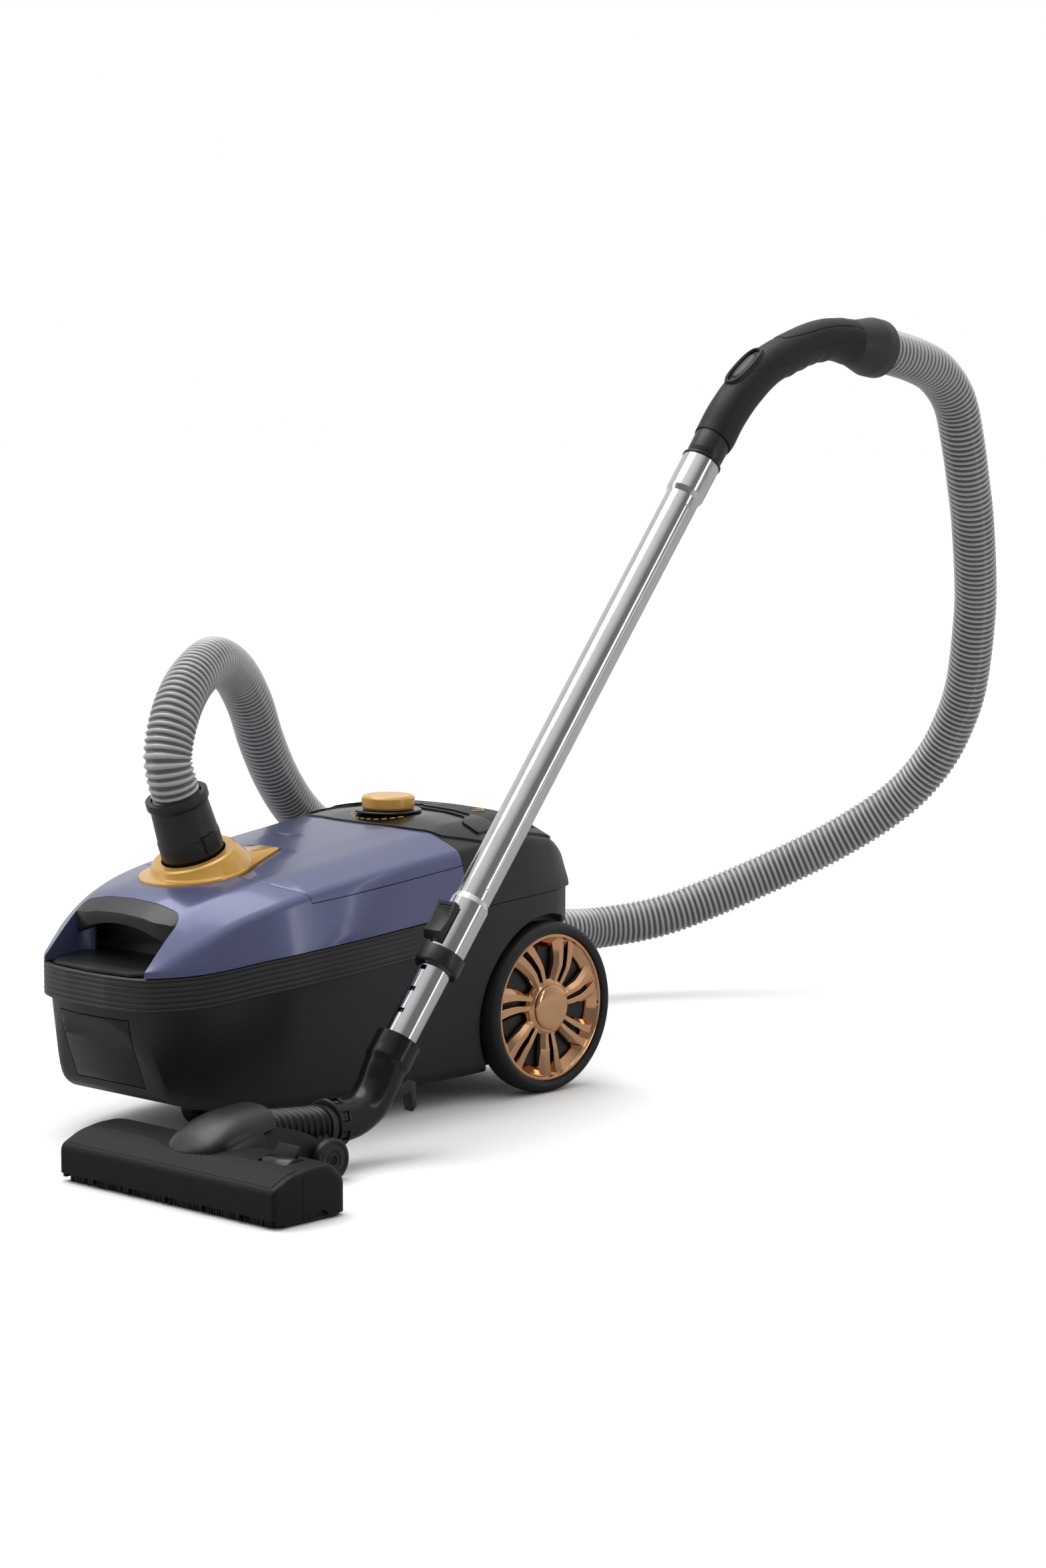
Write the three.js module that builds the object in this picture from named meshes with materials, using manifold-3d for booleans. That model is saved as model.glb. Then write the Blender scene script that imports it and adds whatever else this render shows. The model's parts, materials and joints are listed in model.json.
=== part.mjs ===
// A canister vacuum cleaner with its hose, telescopic wand and floor head.
// Millimetres, +Z up. The canister's nose points to -Y, and the wand stands on the +X side.
import * as THREE from "three";
import { mergeVertices } from "three/addons/utils/BufferGeometryUtils.js";
import Module from "manifold-3d";

const wasm = await Module();
wasm.setup();

// ---------------------------------------------------------------- driving dimensions

const GAP = 0.4; // clearance between pieces that touch
const WALL = 3; // moulded plastic wall
const FAR = 900; // longer than the object, for cutting tools

const NOSE_Y = -362;
const REAR_Y = 192;
const BAND_HEIGHT = 33;
const BAND_DEPTH = 5; // how far the bumper band stands out from the tub

// Canister outlines, as [y, value] from nose to rear.
const HALF_WIDTH = [[-362, 28], [-357, 56], [-349, 76], [-338, 88], [-302, 111], [-260, 126], [-210, 138],
  [-120, 146], [0, 147], [100, 142], [150, 135], [178, 124], [192, 108]];
const TOP_HEIGHT = [[-362, 172], [-355, 179], [-338, 204], [-313, 224], [-285, 240], [-222, 252], [-123, 263],
  [0, 279], [42, 284], [100, 283], [150, 276], [178, 259], [192, 238]];
const CREASE_HEIGHT = [[-362, 171], [-355, 174], [-340, 180], [-302, 200], [-260, 219], [-210, 233],
  [-158, 242], [12, 258], [100, 262], [150, 256], [178, 242], [192, 226]];
const CREASE_INSET = [[-355, 3], [-302, 9], [-158, 14], [12, 16], [192, 12]];
const BAND_TOP = [[-355, 169], [-318, 171], [-237, 181], [-43, 196], [60, 203], [192, 206]];
const UNDERSIDE = [[-362, 126], [-355, 112], [-345, 84], [-330, 50], [-300, 38], [-220, 30], [0, 28],
  [192, 34]];
const LID_SEAM = [[-195, 228], [-140, 232], [9, 244], [30, 246]];
const SIDE_TAPER = 0.9; // half width at the foot over half width at the band

const LID_REAR_Y = 12;
// The lid's front edge in plan, as [x, y] of its right half: behind the collar, then slanting back.
const LID_FRONT = [[0, -217], [80, -217], [126, -190], [160, -170]];
const RECESS = { halfWidth: 72, backY: -300, wallY: -283 };
const GRIP = { frontY: -318, foot: 206, crown: 219, thickness: 10 };
const FRONT_PANEL = { halfWidth: 49, rearY: -300, bottom: 59, top: 126, thickness: 2.4 };

const WHEEL = { x: 133, y: 130, radius: 87.5, width: 32, discRadius: 75, spokes: 7 };
const ARCH = { radius: 95, innerX: 103, axleRadius: 6 };
const CASTER = { y: -228, radius: 18, width: 20, trail: 10 };

const KNOB = { y: 42, radius: 27, base: 287, top: 301, stem: 5 };
// The deck on the rear of the crown: a shallow front arc, then [x, y] corners of its right side.
const DECK = { frontY: -2, arcRadius: 210, side: [[96, 20], [118, 52], [108, 154]], trim: 8, lidGap: 1.4 };
const PANEL = { frontY: -7, corners: [[90, 13], [79, 72], [70, 80]] };
const PEDAL = { outline: [[2, 88], [72, 88], [92, 56], [114, 56], [104, 148], [2, 148]] };

const INLET = { y: -221, z: 262, lean: 20, radius: 30 }; // the hose mouth leans towards the nose
const COLLAR = { radius: 55, tailY: -123 };
const CUFF = { length: 70, root: -16, rim: 31, body: 31 };

const HOSE_RADIUS = 24;
const HOSE_SIDES = 10;
const HOSE_STEPS = 62;
const HOSE_SOCKET = { y: 532, z: 747, droop: 9, length: 50, radius: 31 };
// The hose's route between its two ends, in order from the canister to the handle.
const HOSE_ROUTE = [[-3, -252, 367], [-10, -238, 398], [-22, -214, 422], [-38, -182, 438], [-60, -140, 446],
  [-88, -90, 430], [-112, -46, 395], [-137, -6, 349], [-160, 36, 306], [-184, 86, 266], [-202, 140, 232],
  [-214, 210, 192], [-220, 290, 150], [-219, 370, 116], [-212, 450, 93], [-203, 520, 82], [-190, 576, 80],
  [-150, 641, 92], [-90, 720, 129], [-22, 787, 175], [34, 832, 223], [74, 848, 271], [104, 848, 320],
  [128, 838, 368], [156, 813, 440], [172, 793, 487], [194, 757, 556], [206, 732, 602], [216, 708, 646],
  [226, 679, 690], [232, 641, 719], [236, 598, 734]];

const WAND = { x: 238, y: -180, z: 109, tilt: 39.1 }; // centre of the elbow's socket rim
const INNER_TUBE = { from: -26, to: 480, radius: 16, wall: 1.2 };
const NOTCH = { first: 22, pitch: 24, count: 16, width: 7, length: 5, depth: 2 };
const OUTER_TUBE = {
  from: 88, to: 680, radius: 17.5, wall: 1.2, flareRadius: 19.8, lowFlare: 157, topFlare: 636,
};
const END_RING = { from: 78, to: 96, radius: 22.5 };
const SLIDER = { from: 100, to: 139, halfWidth: 11, height: 8 };
const HANDLE = { radius: 20.5, bore: 16.5, spigotFrom: 642, spigotTo: 712 };
// The handle's centre line in the plane of the wand, as [y, z].
const HANDLE_LINE = [[272, 664], [288, 684], [314, 708], [352, 733], [408, 752],
  [438, 757.5], [462, 757.5], [481.6, 755]];
const VENT = { from: [296, 718], to: [338, 748], halfWidth: 11 };

const HEAD = { left: 94, right: 382, front: -475, back: -384, sole: 4, edge: 36, ridge: 49 };
const PIVOT = { y: -306, z: 20.5, radius: 15, halfWidth: 22 }; // axis of the floor head's tilt and its wheels
const HEAD_WHEEL = { radius: 20.5, width: 9, inset: 34 };
const NECK = { z: 44, from: -278, to: -262, radius: 22, sweep: 76 };
const HEAD_PEDAL = { x: 336, y: -424, width: 34, depth: 22 };
const BRUSH = { y: -465, depth: 6 };

// ---------------------------------------------------------------- looks

const BLACK_SATIN = { color: 0x1b1b1d, roughness: 0.5, metalness: 0 };
const BLACK_GLOSS = { color: 0x0d0d0f, roughness: 0.12, metalness: 0 };
const BLACK_MATT = { color: 0x222224, roughness: 0.75, metalness: 0 };
const LILAC = { color: 0x5f6590, roughness: 0.32, metalness: 0.25 };
const GOLD = { color: 0xc8963c, roughness: 0.35, metalness: 0.2 };
const COPPER = { color: 0xc07a4c, roughness: 0.12, metalness: 1 };
const CHROME = { color: 0xc9ccd0, roughness: 0.08, metalness: 1 };
const STEEL = { color: 0x9a9da2, roughness: 0.3, metalness: 1 };
const RUBBER = { color: 0x161616, roughness: 0.85, metalness: 0 };
const GREY_VINYL = { color: 0x8d8f92, roughness: 0.35, metalness: 0 };
const PAPER = { color: 0xd9d2c0, roughness: 0.9, metalness: 0 };

// ---------------------------------------------------------------- helpers

const radians = THREE.MathUtils.degToRad;
const vector = (x, y, z) => new THREE.Vector3(x, y, z);

function signedVolume(geometry) {
  const at = geometry.attributes.position;
  const order = geometry.index.array;
  const [a, b, c] = [vector(), vector(), vector()];
  let sum = 0;
  for (let i = 0; i < order.length; i += 3) {
    a.fromBufferAttribute(at, order[i]);
    b.fromBufferAttribute(at, order[i + 1]);
    c.fromBufferAttribute(at, order[i + 2]);
    sum += a.dot(b.cross(c));
  }
  return sum;
}

// A closed geometry as a solid, with its faces turned outward.
function toSolid(geometry) {
  const bare = new THREE.BufferGeometry();
  bare.setAttribute("position", geometry.attributes.position.clone());
  bare.setIndex(geometry.index);
  const merged = mergeVertices(bare, 1e-3);
  const triVerts = new Uint32Array(merged.index.array);
  if (signedVolume(merged) < 0) triVerts.reverse();
  const vertProperties = merged.attributes.position.array;
  return new wasm.Manifold(new wasm.Mesh({ numProp: 3, vertProperties, triVerts }));
}

function toGeometry(solid) {
  const mesh = solid.getMesh();
  const geometry = new THREE.BufferGeometry();
  geometry.setAttribute("position", new THREE.BufferAttribute(mesh.vertProperties, 3));
  geometry.setIndex(new THREE.BufferAttribute(mesh.triVerts, 1));
  geometry.computeVertexNormals();
  return geometry;
}

function piece(name, solid, look) {
  const mesh = new THREE.Mesh(toGeometry(solid), new THREE.MeshStandardMaterial(look));
  mesh.name = name;
  return mesh;
}

function unite(...solids) {
  return solids.reduce((sum, solid) => sum.add(solid));
}

// The value of an outline at y, between its nearest two stations.
function along(outline, y) {
  const next = outline.findIndex(([at]) => at >= y);
  if (next === 0) return outline[0][1];
  if (next < 0) return outline.at(-1)[1];
  const [y0, v0] = outline[next - 1];
  const [y1, v1] = outline[next];
  return v0 + ((v1 - v0) * (y - y0)) / (y1 - y0);
}

function outlineOf(points) {
  return new THREE.Shape(points.map(([u, v]) => new THREE.Vector2(u, v)));
}

function extrude(shape, depth) {
  return new THREE.ExtrudeGeometry(shape, { depth, bevelEnabled: false, curveSegments: 10 });
}

// A [y, z] outline drawn out from x0 to x1.
function alongX(points, x0, x1) {
  const shape = Array.isArray(points) ? outlineOf(points) : points;
  const turn = new THREE.Matrix4().makeBasis(vector(0, 1, 0), vector(0, 0, 1), vector(1, 0, 0));
  return toSolid(extrude(shape, x1 - x0).applyMatrix4(turn).translate(x0, 0, 0));
}

// An [x, z] outline drawn out from y0 to y1.
function alongY(points, y0, y1) {
  const shape = Array.isArray(points) ? outlineOf(points) : points;
  return toSolid(extrude(shape, y1 - y0).rotateX(Math.PI / 2).translate(0, y1, 0));
}

// An [x, y] outline drawn out from z0 to z1.
function alongZ(points, z0, z1) {
  const shape = Array.isArray(points) ? outlineOf(points) : points;
  return toSolid(extrude(shape, z1 - z0).translate(0, 0, z0));
}

function block(x0, x1, y0, y1, z0, z1) {
  const box = new THREE.BoxGeometry(x1 - x0, y1 - y0, z1 - z0);
  return toSolid(box.translate((x0 + x1) / 2, (y0 + y1) / 2, (z0 + z1) / 2));
}

// A [radius, height] profile turned about +Z. It starts and ends on the axis, or closes on itself.
function turned(profile, sides = 24) {
  const points = profile.map(([radius, height]) => new THREE.Vector2(radius, height));
  return toSolid(new THREE.LatheGeometry(points, sides).rotateX(Math.PI / 2));
}

function rod(radius, z0, z1, sides = 24) {
  return turned([[0, z0], [radius, z0], [radius, z1], [0, z1]], sides);
}

function ring(inner, outer, z0, z1, sides = 24) {
  return turned([[inner, z0], [outer, z0], [outer, z1], [inner, z1], [inner, z0]], sides);
}

// Turns a solid made about +Z so that its axis is +X.
const ontoX = (solid) => solid.rotate([0, 90, 0]);

// Skins a row of rings, each a closed list of points in the same order.
function loft(rings) {
  const size = rings[0].length;
  const positions = rings.flat().flatMap((point) => [point.x, point.y, point.z]);
  const faces = [];
  for (let i = 0; i + 1 < rings.length; i++)
    for (let j = 0; j < size; j++) {
      const [a, b] = [i * size + j, i * size + ((j + 1) % size)];
      faces.push(a, b, b + size, a, b + size, a + size);
    }
  for (let j = 1; j + 1 < size; j++) {
    const end = (rings.length - 1) * size;
    faces.push(0, j + 1, j, end, end + j, end + j + 1);
  }
  const geometry = new THREE.BufferGeometry();
  geometry.setAttribute("position", new THREE.Float32BufferAttribute(positions, 3));
  geometry.setIndex(faces);
  return toSolid(geometry);
}

function sweep(points, radius, sides, steps) {
  const path = new THREE.CatmullRomCurve3(points.map(([x, y, z]) => vector(x, y, z)));
  const section = outlineOf(circle(radius, sides));
  return toSolid(new THREE.ExtrudeGeometry(section, { steps, bevelEnabled: false, extrudePath: path }));
}

function circle(radius, sides, x = 0, y = 0) {
  return Array.from({ length: sides }, (_, i) => {
    const angle = (2 * Math.PI * i) / sides;
    return [x + radius * Math.cos(angle), y + radius * Math.sin(angle)];
  });
}

// ---------------------------------------------------------------- canister skins

// Rings from nose to rear. halfRing gives the [x, z] points of the right half, foot to crown.
function canisterSkin(inset, halfRing) {
  const marks = [...HALF_WIDTH, ...TOP_HEIGHT, ...UNDERSIDE].map(([y]) => y);
  const stations = [...new Set(marks)].sort((a, b) => a - b);
  const squeeze = (REAR_Y - NOSE_Y - 2 * inset) / (REAR_Y - NOSE_Y);
  return loft(
    stations.map((y) => {
      const half = halfRing(y, along(HALF_WIDTH, y) - inset);
      const placedY = NOSE_Y + inset + (y - NOSE_Y) * squeeze;
      const right = half.map(([x, z]) => vector(x, placedY, z));
      const left = half.filter(([x]) => x > 0).reverse().map(([x, z]) => vector(-x, placedY, z));
      return [...right, ...left];
    }),
  );
}

// The lower body, up to above the band.
function tub(inset) {
  return canisterSkin(BAND_DEPTH + inset, (y, half) => {
    const foot = along(UNDERSIDE, y) + inset;
    const narrow = half * SIDE_TAPER;
    const rim = along(BAND_TOP, y) + BAND_HEIGHT;
    return [[0, foot], [narrow - 14, foot], [narrow - 4, foot + 4], [narrow, foot + 12],
      [half, rim - 2 * BAND_HEIGHT], [half, rim], [0, rim]];
  });
}

// The upper body, from below the band to the crown.
function hood(inset) {
  return canisterSkin(inset, (y, half) => {
    const foot = along(BAND_TOP, y) - BAND_HEIGHT;
    const crease = along(CREASE_HEIGHT, y) - inset;
    const crown = along(TOP_HEIGHT, y) - inset;
    const shoulder = half - along(CREASE_INSET, y);
    const dome = [0.25, 0.5, 0.75].map((share) => {
      const angle = (share * Math.PI) / 2;
      return [shoulder * Math.cos(angle), crease + (crown - crease) * Math.sin(angle)];
    });
    return [[0, foot], [half, foot], [half, along(BAND_TOP, y)], [shoulder, crease], ...dome, [0, crown]];
  });
}

function bandBlank(inset) {
  return canisterSkin(inset, (y, half) => {
    const low = along(BAND_TOP, y) - 2 * BAND_HEIGHT;
    const high = along(BAND_TOP, y) + BAND_HEIGHT;
    return [[0, low], [half, low], [half, high], [0, high]];
  });
}

// Everything between two heights, each a number or a function of y, from y0 to y1.
function layer(low, high, y0, y1) {
  const steps = [...BAND_TOP, ...LID_SEAM].map(([y]) => y).filter((y) => y > y0 && y < y1);
  const ys = [y0, ...new Set(steps.sort((a, b) => a - b)), y1];
  return alongX([...ys.map((y) => [y, low(y)]), ...ys.reverse().map((y) => [y, high(y)])], -FAR, FAR);
}

const bandTop = (y) => along(BAND_TOP, y);
const bandLow = (y) => bandTop(y) - BAND_HEIGHT;
const skyHigh = () => FAR;
const deepDown = () => -FAR;

// ---------------------------------------------------------------- canister cutters

// A plan outline symmetric about the mid-plane: a shallow arc in front, then the right side's corners.
function archedPrism(frontY, corners) {
  const half = corners[0][0];
  const front = Array.from({ length: 13 }, (_, i) => {
    const x = half * (i / 6 - 1);
    return [x, frontY + x ** 2 / (2 * DECK.arcRadius)];
  });
  const mirrored = corners.map(([x, y]) => [-x, y]).reverse();
  return alongZ([...front, ...corners.slice(1), ...mirrored.slice(0, -1)], 200, FAR);
}

function deckPrism(grow) {
  const [front, shoulder, rear] = DECK.side;
  const corners = [
    [front[0] + grow, front[1]],
    [shoulder[0] + grow, shoulder[1]],
    [rear[0] + grow, rear[1] + grow],
  ];
  return archedPrism(DECK.frontY - grow, corners);
}

function panelPrism(grow) {
  const corners = PANEL.corners.map(([x, y], i) => [x + grow, i === PANEL.corners.length - 1 ? y + grow : y]);
  return archedPrism(PANEL.frontY - grow, corners);
}

function collarPrism(grow) {
  const shape = new THREE.Shape();
  const reach = COLLAR.radius + grow;
  const turn = radians(35);
  shape.absarc(0, INLET.y, reach, turn, Math.PI - turn, true);
  shape.lineTo(-14, COLLAR.tailY + grow);
  shape.lineTo(14, COLLAR.tailY + grow);
  return alongZ(shape, 200, FAR);
}

const seam = (y) => along(LID_SEAM, y);

function lidZone(inset) {
  const [rearX] = LID_FRONT.at(-1);
  const front = LID_FRONT.map(([x, y]) => [x, y + inset]);
  const left = front.slice(1).reverse().map(([x, y]) => [-x, y]);
  const plan = alongZ([...left, ...front, [rearX, LID_REAR_Y], [-rearX, LID_REAR_Y]], 0, FAR);
  return layer((y) => seam(y) + inset, skyHigh, LID_FRONT[0][1], LID_REAR_Y - inset).intersect(plan);
}

// A solid made about the inlet's own axis, with its base at the origin, set in its place.
function atInlet(solid) {
  return solid.rotate([INLET.lean, 0, 0]).translate([0, INLET.y, INLET.z]);
}

function wheelArch(grow) {
  const drum = ontoX(rod(ARCH.radius + grow, ARCH.innerX - grow, FAR, 40));
  const half = drum.translate([0, WHEEL.y, WHEEL.radius]);
  return unite(half, half.mirror([1, 0, 0]));
}

// ---------------------------------------------------------------- canister casings

function baseShell() {
  const below = layer(deepDown, (y) => bandTop(y) - GAP, NOSE_Y - WALL, REAR_Y + WALL);
  const hollow = tub(WALL).subtract(wheelArch(WALL));
  const casterWell = unite(rod(30, 0, 46, 24), rod(12 + GAP, 0, 60, 20)).translate([0, CASTER.y, 0]);
  const casterBoss = rod(33, along(UNDERSIDE, CASTER.y), 63, 24).translate([0, CASTER.y, 0]);
  const inletHole = alongY(circle(28, 20, MOTOR.x, MOTOR.z), 10, 40);
  const bulkhead = block(-112, 112, 22, 25, 32, 188).subtract(inletHole);
  const axleHole = ontoX(rod(ARCH.axleRadius + GAP, 60, 130, 16)).translate([0, WHEEL.y, WHEEL.radius]);
  const glandHole = alongY(circle(9 + GAP, 16, -70, 70), REAR_Y - 40, REAR_Y + 5);
  const doorHole = block(-62, 62, REAR_Y - 40, REAR_Y + 5, 92, 172);
  const backing = tub(FRONT_PANEL.thickness + GAP).subtract(tub(2 * WALL)).intersect(frontPanelZone(4));
  return tub(0)
    .subtract(wheelArch(0))
    .subtract(hollow)
    .add(casterBoss.intersect(tub(0)))
    .add(bulkhead.intersect(tub(0)))
    .subtract(casterWell)
    .subtract(frontPanelZone(1))
    .add(backing)
    .subtract(axleHole)
    .subtract(axleHole.mirror([1, 0, 0]))
    .subtract(glandHole)
    .subtract(doorHole)
    .intersect(below);
}

function frontPanelZone(grow) {
  const { halfWidth, rearY, bottom, top } = FRONT_PANEL;
  return block(-halfWidth - grow, halfWidth + grow, NOSE_Y - 5, rearY, bottom - grow, top + grow);
}

function frontPanel() {
  return tub(0).subtract(tub(FRONT_PANEL.thickness)).intersect(frontPanelZone(0));
}

function bumperBand() {
  const belt = layer(bandLow, (y) => bandTop(y) - GAP, NOSE_Y - WALL, -25);
  return bandBlank(0).subtract(bandBlank(BAND_DEPTH - GAP)).intersect(belt);
}

function recess(grow) {
  return block(-RECESS.halfWidth - grow, RECESS.halfWidth + grow, NOSE_Y - 20, RECESS.backY + grow, 100, FAR);
}

function frontShell() {
  const above = layer(bandTop, skyHigh, NOSE_Y - WALL, LID_REAR_Y);
  const ledgeY = LID_FRONT[0][1] - 12;
  const ledge = block(-115, 115, ledgeY, ledgeY + 4, 205, FAR).intersect(hood(1));
  return hood(0)
    .subtract(hood(WALL))
    .add(ledge)
    .intersect(above)
    .subtract(lidZone(0))
    .subtract(recess(GAP))
    .subtract(collarPrism(GAP));
}

function carryGrip() {
  const half = RECESS.halfWidth - GAP;
  const { frontY, foot, crown, thickness } = GRIP;
  const shelfZ = bandTop(RECESS.wallY);
  const shelf = layer((y) => bandTop(y) + GAP, (y) => bandTop(y) + WALL, NOSE_Y + 4, RECESS.wallY);
  const back = block(-half, half, RECESS.wallY - WALL, RECESS.wallY, shelfZ + GAP, foot - 2);
  const arch = new THREE.Shape();
  arch.moveTo(-half, foot);
  arch.quadraticCurveTo(0, 2 * crown - foot, half, foot);
  arch.lineTo(half, foot - thickness);
  arch.quadraticCurveTo(0, 2 * crown - foot - 2 * thickness, -half, foot - thickness);
  const underHood = hood(WALL + GAP).add(block(-half, half, NOSE_Y, RECESS.backY - GAP, 100, FAR));
  const bar = alongY(arch, frontY, RECESS.wallY).intersect(underHood);
  return unite(shelf, back, bar).intersect(
    alongZ([[-half, RECESS.wallY], [-half, -338], [-54, NOSE_Y + 8], [54, NOSE_Y + 8], [half, -338],
      [half, RECESS.wallY]], 0, FAR),
  );
}

function bagLid() {
  const lugs = [-84, 72].map((x) => block(x, x + 12, LID_REAR_Y - 18, LID_REAR_Y - 3, 248, 278));
  return hood(0)
    .subtract(hood(WALL))
    .add(unite(...lugs).intersect(hood(1)))
    .intersect(lidZone(GAP))
    .subtract(collarPrism(GAP))
    .subtract(deckPrism(DECK.trim + DECK.lidGap));
}

function rearCover() {
  const above = layer(bandTop, skyHigh, LID_REAR_Y + GAP, REAR_Y + WALL);
  return hood(0).subtract(hood(WALL)).intersect(above).subtract(deckPrism(DECK.trim + GAP));
}

function inletCollar() {
  const body = collarPrism(0).intersect(hood(-5)).subtract(hood(WALL + 1));
  const rim = ring(INLET.radius + 2, INLET.radius + 14, -22, 6);
  const mouth = rod(INLET.radius + 2 + GAP, -60, 60);
  return unite(body, atInlet(rim).intersect(collarPrism(0))).subtract(atInlet(mouth));
}

// ---------------------------------------------------------------- deck

function deckTrim() {
  return hood(-1.5)
    .subtract(hood(WALL + 1))
    .intersect(deckPrism(DECK.trim))
    .subtract(panelPrism(GAP))
    .subtract(pedalPrism(1, 1))
    .subtract(pedalPrism(-1, 1));
}

// The pedal's outline, moved out from its own middle by grow on each side.
function pedalPrism(side, grow) {
  const middle = [98, 102]; // x beyond the slanted front corner
  const outline = PEDAL.outline.map((corner) =>
    corner.map((value, i) => value + grow * Math.sign(value - middle[i])),
  );
  const prism = alongZ(outline, 200, FAR);
  return side > 0 ? prism : prism.mirror([1, 0, 0]);
}

function controlPanel() {
  return hood(0)
    .subtract(hood(WALL))
    .intersect(panelPrism(0))
    .subtract(rod(KNOB.stem + GAP, 200, FAR, 16).translate([0, KNOB.y, 0]));
}

function pedal(side) {
  const plate = hood(-3).subtract(hood(1)).intersect(pedalPrism(side, 0));
  const stem = block(side * 45 - 4, side * 45 + 4, 96, 104, 258, 281);
  return unite(plate, stem);
}

function powerKnob() {
  const { radius, base, top, stem } = KNOB;
  const profile = [[0, 268], [stem, 268], [stem, base], [radius, base], [radius, top - 4], [radius - 4, top],
    [0, top]];
  const grips = Array.from({ length: 9 }, (_, i) =>
    rod(2, base + 1, top + 1, 8)
      .translate([radius + 1, 0, 0])
      .rotate([0, 0, 40 * i]),
  );
  return turned(profile, 40).subtract(unite(...grips)).translate([0, KNOB.y, 0]);
}

// ---------------------------------------------------------------- inside the canister

function dustBag() {
  const section = [[-88, 88], [-60, 66], [60, 66], [88, 88], [88, 154], [60, 178], [-60, 178], [-88, 154]];
  return alongY(section, -270, -4);
}

function bagCard() {
  return block(-55, 55, -283, -276, 70, 200).subtract(
    alongY(circle(20, 20, 0, 140), -290, -270),
  );
}

function preMotorFilter() {
  return block(-70, 70, 8, 16, 60, 160);
}

const MOTOR = { x: 42, y: 88, z: 108, radius: 46 };

function motorHousing() {
  const shell = ring(MOTOR.radius - WALL, MOTOR.radius, -58, 30);
  const endPlate = ring(12, MOTOR.radius, -58, -54);
  return unite(shell, endPlate).rotate([-90, 0, 0]).translate([MOTOR.x, MOTOR.y, MOTOR.z]);
}

function impeller() {
  const blades = Array.from({ length: 8 }, (_, i) => block(6, 38, -1, 1, -10, 6).rotate([0, 0, 45 * i]));
  const disc = rod(38, -12, -9);
  const hub = rod(8, -24, 8, 16);
  return unite(disc, hub, ...blades).rotate([-90, 0, 0]).translate([MOTOR.x, MOTOR.y - 30, MOTOR.z]);
}

const REEL = { x: -52, y: 100, radius: 42 };

function cordReel() {
  const flange = (z) => rod(REEL.radius, z, z + 3);
  return unite(flange(64), rod(24, 64, 112), flange(109), rod(6, 60, 118, 16)).translate([REEL.x, REEL.y, 0]);
}

function cordGland() {
  const tube = turned([[4, -16], [9, -16], [9, 0], [12, 0], [12, 4], [6, 7], [4, 7], [4, -16]], 20);
  return tube.rotate([-90, 0, 0]).translate([-70, REAR_Y + GAP, 70]);
}

function exhaustDoor() {
  const plate = block(-61, 61, REAR_Y - 11, REAR_Y - 7, 93, 171);
  const slots = Array.from({ length: 7 }, (_, i) => {
    const z = 100 + 9.5 * i;
    return block(-50, 50, REAR_Y - 14, REAR_Y, z, z + 4);
  });
  return plate.subtract(unite(...slots));
}

function exhaustFilter() {
  return block(-55, 55, REAR_Y - 32, REAR_Y - 13, 98, 166);
}

function lidLatch() {
  return unite(
    block(-12, 12, COLLAR.tailY + 6, COLLAR.tailY + 20, 252, 256),
    block(-12, 12, COLLAR.tailY + 17, COLLAR.tailY + 20, 236, 256),
  );
}

// ---------------------------------------------------------------- wheels and caster

function tyre() {
  const [inner, outer, half] = [WHEEL.discRadius + GAP, WHEEL.radius, WHEEL.width / 2];
  const profile = [[inner, -half + 2], [outer - 6, -half], [outer - 1, -half + 5], [outer, 0],
    [outer - 1, half - 5], [outer - 6, half], [inner, half - 2], [inner, -half + 2]];
  return ontoX(turned(profile, 36));
}

function spokedDisc() {
  const face = new THREE.Shape();
  face.absarc(0, 0, WHEEL.discRadius - 1, 0, 2 * Math.PI);
  const turn = (2 * Math.PI) / WHEEL.spokes;
  const polar = (radius, angle) => new THREE.Vector2(radius * Math.cos(angle), radius * Math.sin(angle));
  for (let i = 0; i < WHEEL.spokes; i++) {
    const window = [[32, -0.2], [66, -0.24], [66, 0.24], [32, 0.2]];
    face.holes.push(new THREE.Path(window.map(([radius, at]) => polar(radius, i * turn + at))));
    const slot = [[40, 0.39], [66, 0.41], [66, 0.49], [40, 0.51]];
    face.holes.push(new THREE.Path(slot.map(([radius, at]) => polar(radius, i * turn + at))));
  }
  const plate = toSolid(extrude(face, 5)).translate([0, 0, 6]);
  const barrel = ring(WHEEL.discRadius - 5, WHEEL.discRadius, -13, 13, 36);
  const hub = ring(ARCH.axleRadius + 0.5, 24, -13, 9, 20);
  const web = ring(20, WHEEL.discRadius - 2, -13, -10, 28);
  return ontoX(unite(plate, barrel, hub, web).subtract(rod(ARCH.axleRadius + 0.5, -FAR, 12, 16)));
}

function hubCap() {
  return ontoX(turned([[0, 11.4], [23, 11.4], [22, 13], [12, 15.5], [0, 16]], 28));
}

function axle() {
  return ontoX(unite(rod(ARCH.axleRadius, -44, 10, 16), rod(9, -44, -40, 16)));
}

function casterFork() {
  const stem = rod(12, 38, 58, 20);
  const crown = block(-15, 15, -6, 20, 37, 42);
  const cheeks = [-15, 12].map((x) => block(x, x + 3, -2 + CASTER.trail - 8, CASTER.trail + 8, 12, 38));
  const hole = ontoX(rod(2.5 + GAP, -20, 20, 12)).translate([0, CASTER.trail, CASTER.radius]);
  return unite(stem, crown, ...cheeks).subtract(hole);
}

function casterRoller() {
  const half = CASTER.width / 2;
  const r = CASTER.radius;
  return ontoX(turned([[2.5 + GAP, -half], [r - 2, -half], [r, -half + 3], [r, half - 3], [r - 2, half],
    [2.5 + GAP, half], [2.5 + GAP, -half]], 24));
}

// ---------------------------------------------------------------- hose and its two ends

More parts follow.
